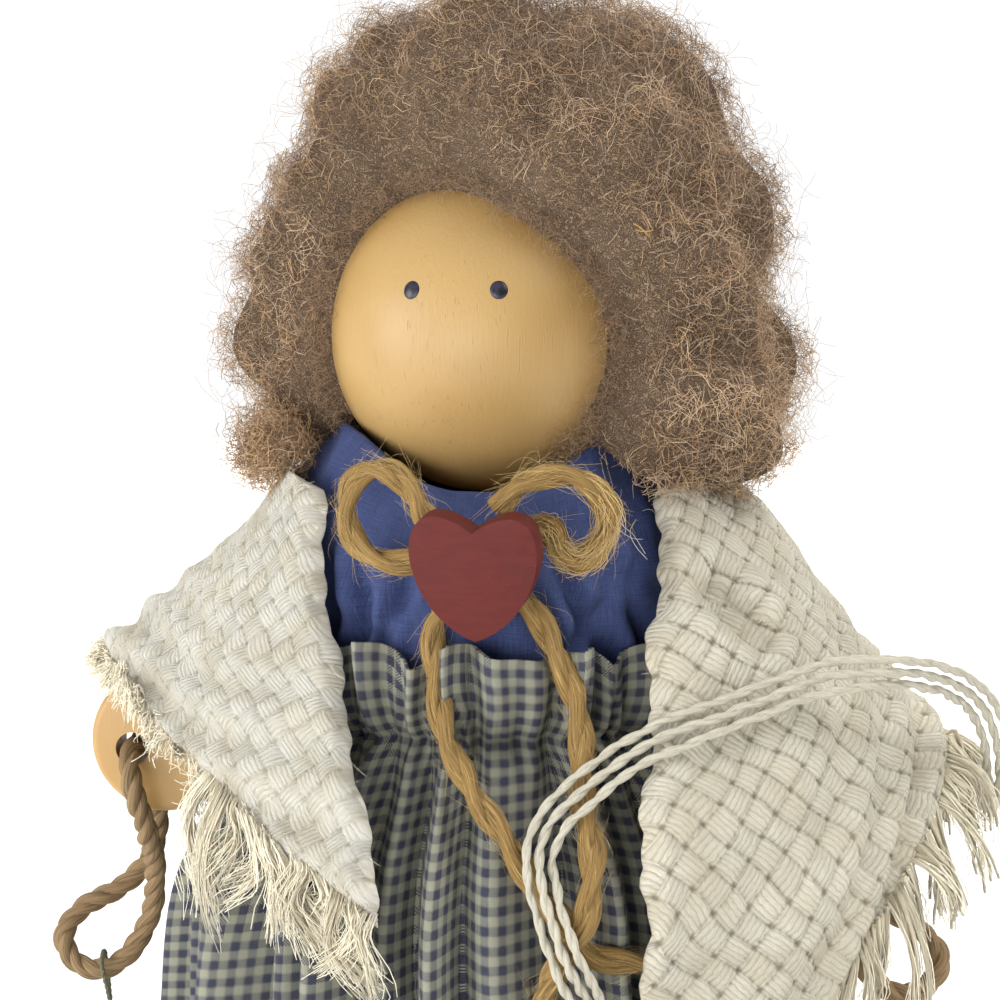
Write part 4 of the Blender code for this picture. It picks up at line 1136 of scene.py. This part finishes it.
def make_shawl(lines):
    """Two halves that meet down the middle of the back."""
    # Each weave's second colour is painted shade in the open corners and its third is painted shade between threads;
    # the left copy's painted shade is darker.
    weaves = {"left": basket_weave("open_weave", srgb(250, 244, 226), srgb(122, 109, 84), srgb(203, 193, 166)),
              "right": basket_weave("close_weave", srgb(255, 252, 240), srgb(196, 184, 157), srgb(234, 228, 211))}
    thread = twisted_fibre("fringe_thread", srgb(182, 166, 130), srgb(228, 217, 190), srgb(247, 240, 220), 2.0)
    wisp = Finish("fringe_wisp", srgb(240, 232, 210), 0.9)
    rng = np.random.default_rng(23)
    coarse_rows = 25
    coarse_columns = 97
    whole = shawl_inside(np.linspace(1, 0, coarse_columns), np.linspace(0, 1, coarse_rows))
    flat = laid_flat(whole)
    middle = coarse_columns // 2
    for word, first, last, rows, columns in (("left", 1.0, 0.5, 221, 321), ("right", 0.5, 0.0, 141, 321)):
        inside = shawl_inside(np.linspace(first, last, columns), np.linspace(0, 1, rows))
        cell = WEAVE_CELL * (1.0 if word == "left" else 0.8)
        part = flat[:, :middle + 1] if word == "left" else flat[:, middle:]
        place = refine(part, rows, columns)
        sway = 0.0006 * np.sin(place[..., ::-1] * 190 + np.array((0.3, 1.9)))
        sway = sway + 0.0004 * np.sin(place[..., ::-1] * 430 + place * 90 + np.array((1.3, 0.2)))
        cells = np.stack((place[..., 0] + place[..., 1], place[..., 0] - place[..., 1]), axis=-1) / math.sqrt(2)
        cells = (cells + sway) / cell
        normal = grid_normals(inside, False)
        steps = np.linalg.norm(np.diff(inside, axis=1), axis=2)
        along = np.concatenate((np.zeros((rows, 1)), np.cumsum(steps, axis=1)), axis=1)
        edge = along if word == "left" else along[:, -1:] - along
        column = 0 if word == "left" else -1
        run = lengths_along(inside[:, column])
        notch = 0.0007 * np.abs(np.sin(np.pi * run / 0.0058)) + 0.0009 * np.sin(run * 190 + 1)
        notch = notch + 0.0006 * np.sin(run * 420)
        beyond = unit(inside[:, column] - inside[:, 1 if word == "left" else -2])
        inside = inside + beyond[:, None] * (notch[:, None] * np.exp(-edge / 0.004))[..., None]
        turned = np.clip(edge / 0.0030, 0, 1)
        rounded = np.sqrt(1 - (1 - turned) ** 2)
        roll = 0.0022 * np.exp(-((edge - 0.004) / 0.007) ** 2)
        frayed = np.linspace(0, 1, rows)[:, None]
        thickness = (0.0019 + roll) * (0.15 + 0.85 * rounded) * (1 - 0.45 * soft_step(frayed, 0.95, 1.0))
        ripple = 0.0014 * np.sin(along * 150 + 2 + 25 * frayed) * soft_step(frayed, 0.25, 1.0)
        rise = 0.24 * cell * (weave_height(cells) - 0.6) * (0.4 + 0.6 * rounded)
        outside = inside + normal * (thickness + rise + ripple * rounded)[..., None]
        if word == "left":
            way = CREASE[1] - CREASE[0]
            seen = outside[..., ::2]
            t = np.clip((seen - CREASE[0]) @ way / (way @ way), 0, 1)
            away = np.linalg.norm(seen - CREASE[0] - t[..., None] * way, axis=-1)
            depth = 0.0046 * np.exp(-(away / 0.0022) ** 2) - 0.0022 * np.exp(-((away - 0.0048) / 0.0026) ** 2)
            depth = depth * np.sin(np.pi * (0.12 + 0.76 * t)) ** 0.6 * (outside[..., 1] < -0.015)
            outside = outside - normal * depth[..., None]
            outside = pressed(outside, lines, YARN_PRESS, False, 1)
        below = inside + normal * np.minimum(0.0003, 0.5 * thickness)[..., None]
        cloth = shell("woven_shawl_" + word, outside, below, cells, weaves[word], False)
        hem = outside[-1]
        outward = unit(inside[-1] - inside[-4])
        spot = rng.integers(0, rows * columns, 800)
        lint = outside.reshape(-1, 3)[spot], normal.reshape(-1, 3)[spot]
        fringe, wisps = make_fringe(word, hem, outward, normal[-1], lint, thread, wisp, rng)
        for piece in (cloth, fringe, wisps):
            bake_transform(piece)
        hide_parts("shawl")


# One long thread that stands off the shawl's right corner, in millimetres
STRAY_THREAD = [(-74.0, -8.0, 164.2), (-79.5, -9.0, 162.8), (-85.0, -9.4, 161.3), (-90.5, -9.0, 161.2)]


def make_fringe(word, hem, outward, normal, lint, thread, wisp, rng):
    """Threads left loose along the frayed edge: they hang in the groups they were woven in and open into fibres."""
    along = lengths_along(hem)
    spots = np.arange(0.0006, along[-1] - 0.0004, 0.00078)
    count = len(spots)
    points = 9

    def at(values):
        return np.stack([np.interp(spots, along, values[:, k]) for k in range(3)], axis=1)

    group = np.floor(spots / WEAVE_CELL).astype(int)
    groups = group.max() + 1
    loose = 1.5 if word == "right" else 0.9
    lean = rng.normal(0, loose, (groups, 3))[group]
    size = (rng.uniform(0.012, 0.020, groups)[group] * rng.uniform(0.8, 1.1, count))[:, None, None]
    front = spots if word == "left" else along[-1] - spots
    size = size * (0.75 + 0.25 * np.clip(front / 0.02, 0, 1))[:, None, None]
    if word == "right":
        size = size * (0.18 + 0.9 * soft_step(at(hem)[:, 0], -0.053, -0.047))[:, None, None]
    edge = at(hem)
    sums = np.stack([np.bincount(group, edge[:, k], groups) for k in range(3)], axis=1)
    middle = sums / np.bincount(group, None, groups)[:, None]
    gather = (middle[group] - edge) * rng.uniform(0.1, 0.8, (count, 1))
    t = np.linspace(0, 1, points)[None, :, None]
    hang = np.array((0.05, -0.1, -1.0)) * (0.8 if word == "right" else 0.15)
    way = unit(at(outward) + hang + 0.30 * lean + rng.normal(0, 0.10, (count, 3)))[:, None]
    lift = at(normal)[:, None] * rng.uniform(-0.0009, 0.0006, (count, 1, 1))
    puff = at(normal)[:, None] * size * rng.uniform(0.0, 0.22, groups)[group][:, None, None] * np.sin(np.pi * t)
    curl = rng.normal(0, 1, (count, 1, 3))
    curl = curl * np.sin(t * rng.uniform(3, 8, (count, 1, 1)) + rng.uniform(0, 6, (count, 1, 1)))
    if word == "right":
        swing = rng.uniform(2.5, 5.5, (groups, 1, 1))[group] * t + rng.uniform(0, 6, (groups, 1, 1))[group]
        curl = 0.5 * curl + 2.4 * rng.normal(0, 1, (groups, 1, 3))[group] * np.sin(swing)
    paths = edge[:, None] - way * 0.0012 + lift + puff + way * size * (t - 0.18 * t ** 2)
    paths = paths + np.array((0, 0, -1.0)) * size * 0.26 * t ** 2 + gather[:, None] * np.sin(2.4 * t)
    paths = paths + curl * 0.0008 * loose * t
    thick = 0.00042 if word == "right" else 0.00052
    taper = thick * np.linspace(1, 0.5, points)[None] * rng.uniform(0.8, 1.1, (count, 1))
    fringe = tubes("fringe_" + word, clear_of_skirt(paths), taper, 5, thread, np.linspace(0, 16, points)[None])
    pick = np.repeat(np.arange(count), 9 if word == "right" else 4)
    total = len(pick)
    open_out = rng.normal(0, loose, (total, 1, 3)) * (0.00026 + 0.0007 * t ** 1.5)
    twirl = rng.normal(0, 0.0007, (total, 1, 3)) * np.sin(t * rng.uniform(4, 11, (total, 1, 1))) * t
    stretch = rng.uniform(0.85, 1.15, (total, 1, 1))
    fibres = paths[pick][:, :1] + (paths[pick] - paths[pick][:, :1]) * stretch + open_out + twirl
    thin = 0.00014 * np.linspace(1, 0.6, points)[None] * rng.uniform(0.7, 1.2, (total, 1))
    start, away = lint
    drift = across_of(away, rng)[:, None]
    bow = across_of(away, rng)[:, None]
    short = rng.uniform(0.0012, 0.0034, (len(start), 1, 1))
    arch = 0.0009 * np.sin(np.pi * t * 0.8) * rng.uniform(0.2, 1, (len(start), 1, 1)) - 0.0001
    hairs = start[:, None] + away[:, None] * arch + drift * short * t + bow * short * 0.8 * t * t
    thin = np.concatenate((thin, np.full((len(start), points), 0.000028)))
    hairs = np.concatenate((clear_of_skirt(fibres), hairs))
    if word == "right":
        stray = spline(np.array(STRAY_THREAD) * MM, np.linspace(0, 3, points))
        hairs = np.concatenate((hairs, stray[None]))
        thin = np.concatenate((thin, np.full((1, points), 0.00007)))
    wisps = tubes("fringe_wisps_" + word, hairs, thin, 3, wisp)
    return fringe, wisps


def clear_of_skirt(paths):
    """Move points out of the skirt's folds."""
    heights = np.array([row[0] for row in SKIRT_ROWS]) * MM
    reach = np.array([row[1] + row[2] + 0.8 * row[3] for row in SKIRT_ROWS]) * MM + 0.0006
    out = np.interp(paths[..., 2], heights[::-1], reach[::-1])
    flat = np.hypot(paths[..., 0], paths[..., 1])
    grow = np.maximum(1, out / np.maximum(flat, 1e-6))
    grow = np.where(paths[..., 2] < heights[0], grow, 1)
    return paths * np.stack((grow, grow, np.ones_like(grow)), axis=-1)


make_shawl([cord_lines[name] for name in YARNS])


# Wool hair

# Edge of the face round its own axis: roll from the doll's left over the top, and tilt away from the axis, in degrees
FACE_EDGE = [
    (-180, 63), (-165, 64), (-150, 67), (-140, 72), (-130, 82), (-120, 104), (-90, 122), (-72, 104), (-62, 66),
    (-45, 57), (-20, 58), (0, 58), (20, 56), (40, 53), (60, 52), (75, 54), (90, 60), (105, 66), (120, 70),
    (135, 70), (150, 66), (165, 63), (180, 63),
]
# Distance from the middle and height of the shoulders that the wool lies on, in millimetres
SHOULDER_LINE = [
    (0.0, 205.5), (33.5, 205.5), (38.0, 198.2), (44.0, 193.4), (52.0, 188.6), (70.0, 179.5), (90.0, 150.0),
]


def past_face(way):
    """Degrees from the edge of the face, positive where hair grows."""
    axis = np.array((math.sin(FACE_TURN), -math.cos(FACE_TURN), 0))
    side = np.array((math.cos(FACE_TURN), math.sin(FACE_TURN), 0))
    tilt = np.degrees(np.arccos(np.clip(way @ axis, -1, 1)))
    roll = np.degrees(np.arctan2(way[..., 2], way @ side))
    edge = np.array(FACE_EDGE, float)
    return tilt - np.interp(roll, edge[:, 0], edge[:, 1])


# Reach of the wool in millimetres as seen from the front, every 20 degrees from the doll's left over the top
HAIR_OUTLINE = [
    54.8, 58.8, 61.5, 68.5, 65.4, 64.5, 63.5, 56.0, 50.0, 51.0, 46.6, 49.0, 47.0, 46.0, 48.0, 51.0, 54.0, 60.5,
]
HAIR_BACK = 55.5
# Least reach of the wool, and its reach at the edge of the face, in metres
WOOL_LEAST = 0.0316
WOOL_EDGE = 0.0322


def hair_reach(way):
    """Distance from the middle of the head to the outside of the wool, cut off where it meets the shoulders."""
    x, y, z = way[..., 0], way[..., 1], way[..., 2]
    turn = np.degrees(np.arctan2(z, x)) % 360 / 20
    step = np.floor(turn).astype(int)
    part = soft_step(turn - step, 0, 1)
    outline = np.array(HAIR_OUTLINE)
    rim = outline[step % 18] * (1 - part) + outline[(step + 1) % 18] * part
    full = (HAIR_BACK + (rim - HAIR_BACK) * (x * x + z * z)) * MM
    full = full + 0.0016 * np.sin(9 * x + 2) * np.cos(8 * z - 1) + 0.0014 * np.sin(11 * y + 5 * z)
    share = np.clip(past_face(way) / 24, 0, 1)
    reach = WOOL_EDGE + (full - WOOL_EDGE) * np.sqrt(1 - (1 - share) ** 2)
    line = np.array(SHOULDER_LINE) * MM
    flat = np.sqrt(np.maximum(0, 1 - z * z))
    best = np.full(reach.shape, WOOL_LEAST)
    for step in np.linspace(0, 1, 25):
        radius = WOOL_LEAST + (reach - WOOL_LEAST) * step
        free = HEAD_CENTRE[2] + radius * z >= np.interp(radius * flat, line[:, 0], line[:, 1])
        best = np.where(free, radius, best)
    return best


def hair_surface(way):
    """Outside of the wool with its clumps."""
    rng = np.random.default_rng(5)
    swell = 0
    for _ in range(18):
        swell = swell + np.sin(way @ (unit(rng.normal(0, 1, 3)) * rng.uniform(11, 26)) + rng.uniform(0, 6.3))
    reach = hair_reach(way)
    grown = np.clip((reach - WOOL_EDGE) / 0.012, 0, 1)
    return reach + 0.0020 / 3 * swell * grown


def make_hair_base():
    """Matted wool below the loose fibres."""
    felt = Finish("matted_wool", srgb(74, 58, 46), 0.95)
    place = felt.place()
    tufts = felt.noise(place, 240, 4, 0.65)
    wool = felt.noise(place, 1500, 4, 0.7)
    swirl = (felt.noise(place, 420, 2, 0.5) * 60).wave()
    tone = (0.40 * tufts + 0.25 * wool + 0.35 * swirl).between(0.28, 0.78)
    colour = felt.mix(srgb(88, 69, 54), srgb(158, 131, 103), tone)
    felt.set("Base Color", colour)
    felt.set("Roughness", 0.9 + 0.1 * wool)
    felt.bump(tufts + wool + 0.5 * swirl, 0.0010, 1.0)
    base = begin("wool_base", bpy.ops.mesh.primitive_uv_sphere_add, segments=176, ring_count=110, radius=1)
    way = np.array([vert.co for vert in base.data.vertices])
    reach = hair_reach(way)
    inset = np.where(past_face(way) > 0, np.maximum(0.0315, hair_surface(way) - 0.0034), 0.0300)
    inset = np.where(reach < 0.0325, 0.0300, inset)
    verts = HEAD_CENTRE + way * inset[:, None]
    base.data.vertices.foreach_set("co", verts.astype(np.float32).ravel())
    base.data.update()
    smooth(base, 80)
    dress(base, felt, "head", "hair")


def curls(root, axis, length, radius, turns, phase, points, rng):
    """Curly fibres: each winds round its axis while it runs along it."""
    one = across_of(axis, rng)
    two = np.cross(axis, one)
    t = np.linspace(0, 1, points)[None, :, None]
    angle = 2 * np.pi * turns[:, None, None] * t + phase[:, None, None]
    bow = across_of(axis, rng)[:, None] * (t - 0.5) ** 2 * length[:, None, None] * 0.5
    swirl = one[:, None] * np.cos(angle) + two[:, None] * np.sin(angle)
    return root[:, None] + axis[:, None] * (t - 0.5) * length[:, None, None] + bow + swirl * radius[:, None, None]


def kept_in_wool(paths, spare):
    """Hold fibres between the head and a little outside the wool."""
    away = paths - HEAD_CENTRE
    radius = np.linalg.norm(away, axis=-1)
    way = away / radius[..., None]
    limit = hair_surface(way) + spare
    over = np.maximum(0, radius - limit) * soft_step(past_face(way), 12, 26)
    radius = radius - 0.75 * over
    return HEAD_CENTRE + way * np.maximum(radius, HEAD_RADIUS + 0.0004)[..., None]


# Wool from dark to pale, with the share of each
HAIR_TINTS = [
    ("deep", (125, 100, 79), 0.13), ("dark", (143, 116, 90), 0.18), ("brown", (170, 138, 105), 0.24),
    ("grey", (186, 161, 134), 0.20), ("warm", (197, 162, 120), 0.15), ("pale", (216, 188, 154), 0.10),
]
# Middle, half sizes and number of the curls that lie on the doll's right shoulder, in millimetres
LOW_CURLS = (-41.0, -11.0, 200.5)
LOW_CURLS_SIZE = (9.5, 9.0, 10.5)
LOW_CURLS_COUNT = 1300
LOCKS = 1500
FIBRES = 17000
FLYAWAYS = 1900
RIM_FIBRES = 1500


def wool_places(count, rng):
    """Places spread evenly over the wool, with the way out of it."""
    down, turn = np.meshgrid(np.linspace(0.02, math.pi - 0.02, 221), np.linspace(0, 2 * math.pi, 441), indexing="ij")
    way = np.stack((np.sin(down) * np.cos(turn), np.sin(down) * np.sin(turn), np.cos(down)), axis=-1)
    grid = HEAD_CENTRE + way * hair_surface(way)[..., None]
    start = grid[:-1, :-1].reshape(-1, 3)
    one = grid[1:, :-1].reshape(-1, 3) - start
    two = grid[:-1, 1:].reshape(-1, 3) - start
    out = np.cross(one, two)
    way = way[:-1, :-1].reshape(-1, 3)
    chance = np.linalg.norm(out, axis=1) * (past_face(way) > 1) * (hair_reach(way) > 0.0335)
    pick = rng.choice(len(chance), count, p=chance / chance.sum())
    share = rng.random((2, count, 1))
    return start[pick] + one[pick] * share[0] + two[pick] * share[1], unit(out[pick])


def make_hair():
    """Curly fibres that follow locks, then loose ones all over and short ones round the face."""
    rng = np.random.default_rng(41)
    locks, lock_out = wool_places(LOCKS, rng)
    nearest = KDTree(len(locks))
    for index, lock in enumerate(locks):
        nearest.insert(lock, index)
    nearest.balance()
    lean = across_of(lock_out, rng)
    lock_turns = rng.uniform(0.7, 1.4, len(locks))
    lock_radius = rng.uniform(0.0006, 0.0018, len(locks))
    lock_phase = rng.uniform(0, 6.3, len(locks))
    paleness = rng.normal(0, 1, len(locks)) - 28 * (locks[:, 2] - HEAD_CENTRE[2])
    rank = np.argsort(np.argsort(paleness)) / len(locks)
    lock_tint = np.searchsorted(np.cumsum([share for _, _, share in HAIR_TINTS])[:-1], rank)

    place, out = wool_places(FIBRES, rng)
    low = unit(rng.normal(0, 1, (LOW_CURLS_COUNT, 3))) * rng.random((LOW_CURLS_COUNT, 1)) ** 0.4
    place = np.concatenate((place, np.array(LOW_CURLS) * MM + low * np.array(LOW_CURLS_SIZE) * MM))
    out = np.concatenate((out, unit(low)))
    count = len(place)
    lock = np.array([nearest.find(spot)[1] for spot in place])
    tint = np.where(rng.random(count) < 0.35, rng.integers(0, len(HAIR_TINTS), count), lock_tint[lock])
    axis = rng.normal(0, 1, (count, 3)) + 0.9 * lean[lock]
    axis = unit(axis - 0.75 * (axis * out).sum(1, keepdims=True) * out)
    paths = curls(place - out * rng.uniform(0, 0.003, (count, 1)), axis, rng.uniform(0.003, 0.0085, count),
                  lock_radius[lock] * rng.uniform(0.5, 1.3, count), lock_turns[lock] * rng.uniform(0.7, 1.1, count),
                  lock_phase[lock] + rng.normal(0, 0.6, count), 7, rng)
    paths[:FIBRES] = kept_in_wool(paths[:FIBRES], rng.uniform(0.0, 0.0024, (FIBRES, 1)))
    radius = rng.uniform(0.00004, 0.000078, (count, 1)) * np.linspace(1, 0.75, 7)[None]
    for index, (word, colour, _) in enumerate(HAIR_TINTS):
        finish = Finish("wool_" + word, srgb(*colour), 0.7)
        mine = tint == index
        dress(tubes("wool_fibres_" + word, paths[mine], radius[mine], 3, finish), finish, "head")

    place, out = wool_places(FLYAWAYS, rng)
    clear = past_face(unit(place - HEAD_CENTRE)) > 8
    place, out = place[clear], out[clear]
    count = len(place)
    paths = curls(place + out * rng.uniform(-0.001, 0.0035, (count, 1)), unit(0.5 * out + across_of(out, rng)),
                  rng.uniform(0.008, 0.017, count), rng.uniform(0.0008, 0.0026, count), rng.uniform(0.5, 1.5, count),
                  rng.uniform(0, 6.3, count), 10, rng)
    loose = Finish("wool_flyaway", srgb(172, 148, 122), 0.6)
    dress(tubes("wool_flyaways", kept_in_wool(paths, 0.0065), 0.000034, 3, loose), loose, "head")

    way = unit(rng.normal(0, 1, (60000, 3)))
    past = past_face(way)
    way = way[(past > -7) & (past < 10) & (way[:, 2] > -0.75)][:RIM_FIBRES]
    count = len(way)
    root = HEAD_CENTRE + way * rng.uniform(WOOL_EDGE, 0.0362, (count, 1))
    paths = curls(root, across_of(way, rng), rng.uniform(0.004, 0.009, count), rng.uniform(0.0006, 0.0017, count),
                  rng.uniform(0.6, 1.6, count), rng.uniform(0, 6.3, count), 9, rng)
    rim = Finish("wool_rim", srgb(150, 122, 94), 0.62)
    dress(tubes("wool_face_edge", kept_in_wool(paths, 0.0025), 0.000036, 3, rim), rim, "head")


make_hair_base()
make_hair()


# Small loose bits in millimetres: straws in the wool, by X and Z, and lint on the blouse, by degrees round it and Z
STRAWS = [
    [(28.6, 244.2), (29.6, 243.6), (30.6, 242.8), (31.6, 241.8)],
    [(29.0, 243.0), (30.2, 242.8), (31.2, 242.8), (32.0, 243.0)],
]
LINT = [
    [(40, 191.5), (43, 188.5), (47, 186.5), (51, 186.0)], [(44, 192.0), (45, 189.0), (48, 187.0), (50, 183.5)],
    [(51, 189.5), (47, 187.5), (47.5, 185.0), (50, 182.5)],
]


def onto_wool(x, z):
    """Points of these X and Z on the front of the wool."""
    steps = np.linspace(-0.060, 0, 241)
    trial = np.stack(np.broadcast_arrays(x[..., None], steps, z[..., None]), axis=-1)
    away = trial - HEAD_CENTRE
    inside = np.linalg.norm(away, axis=-1) < hair_surface(unit(away)) + 0.0003
    return np.stack((x, steps[inside.argmax(-1)], z), axis=-1)


def make_loose_bits():
    """Two straws caught in the wool and three threads on the blouse."""
    stretch = np.linspace(0, 3, 13)
    straw = Finish("straw", srgb(170, 134, 80), 0.7)
    straws = np.array([spline(np.array(line), stretch) for line in STRAWS]) * MM
    paths = onto_wool(straws[..., 0], straws[..., 1])
    dress(tubes("straw_bits", paths, 0.00014, 5, straw), straw, "head")
    lint = Finish("lint", srgb(240, 238, 230), 0.9)
    lines = np.array([spline(np.array(line), stretch) for line in LINT])
    radius = 39.4 - 0.5 * (lines[..., 1] - 186)
    paths = around(np.radians(lines[..., 0]), radius * MM, lines[..., 1] * MM)
    dress(tubes("lint_threads", paths, 0.00005, 5, lint), lint, "body")


make_loose_bits()
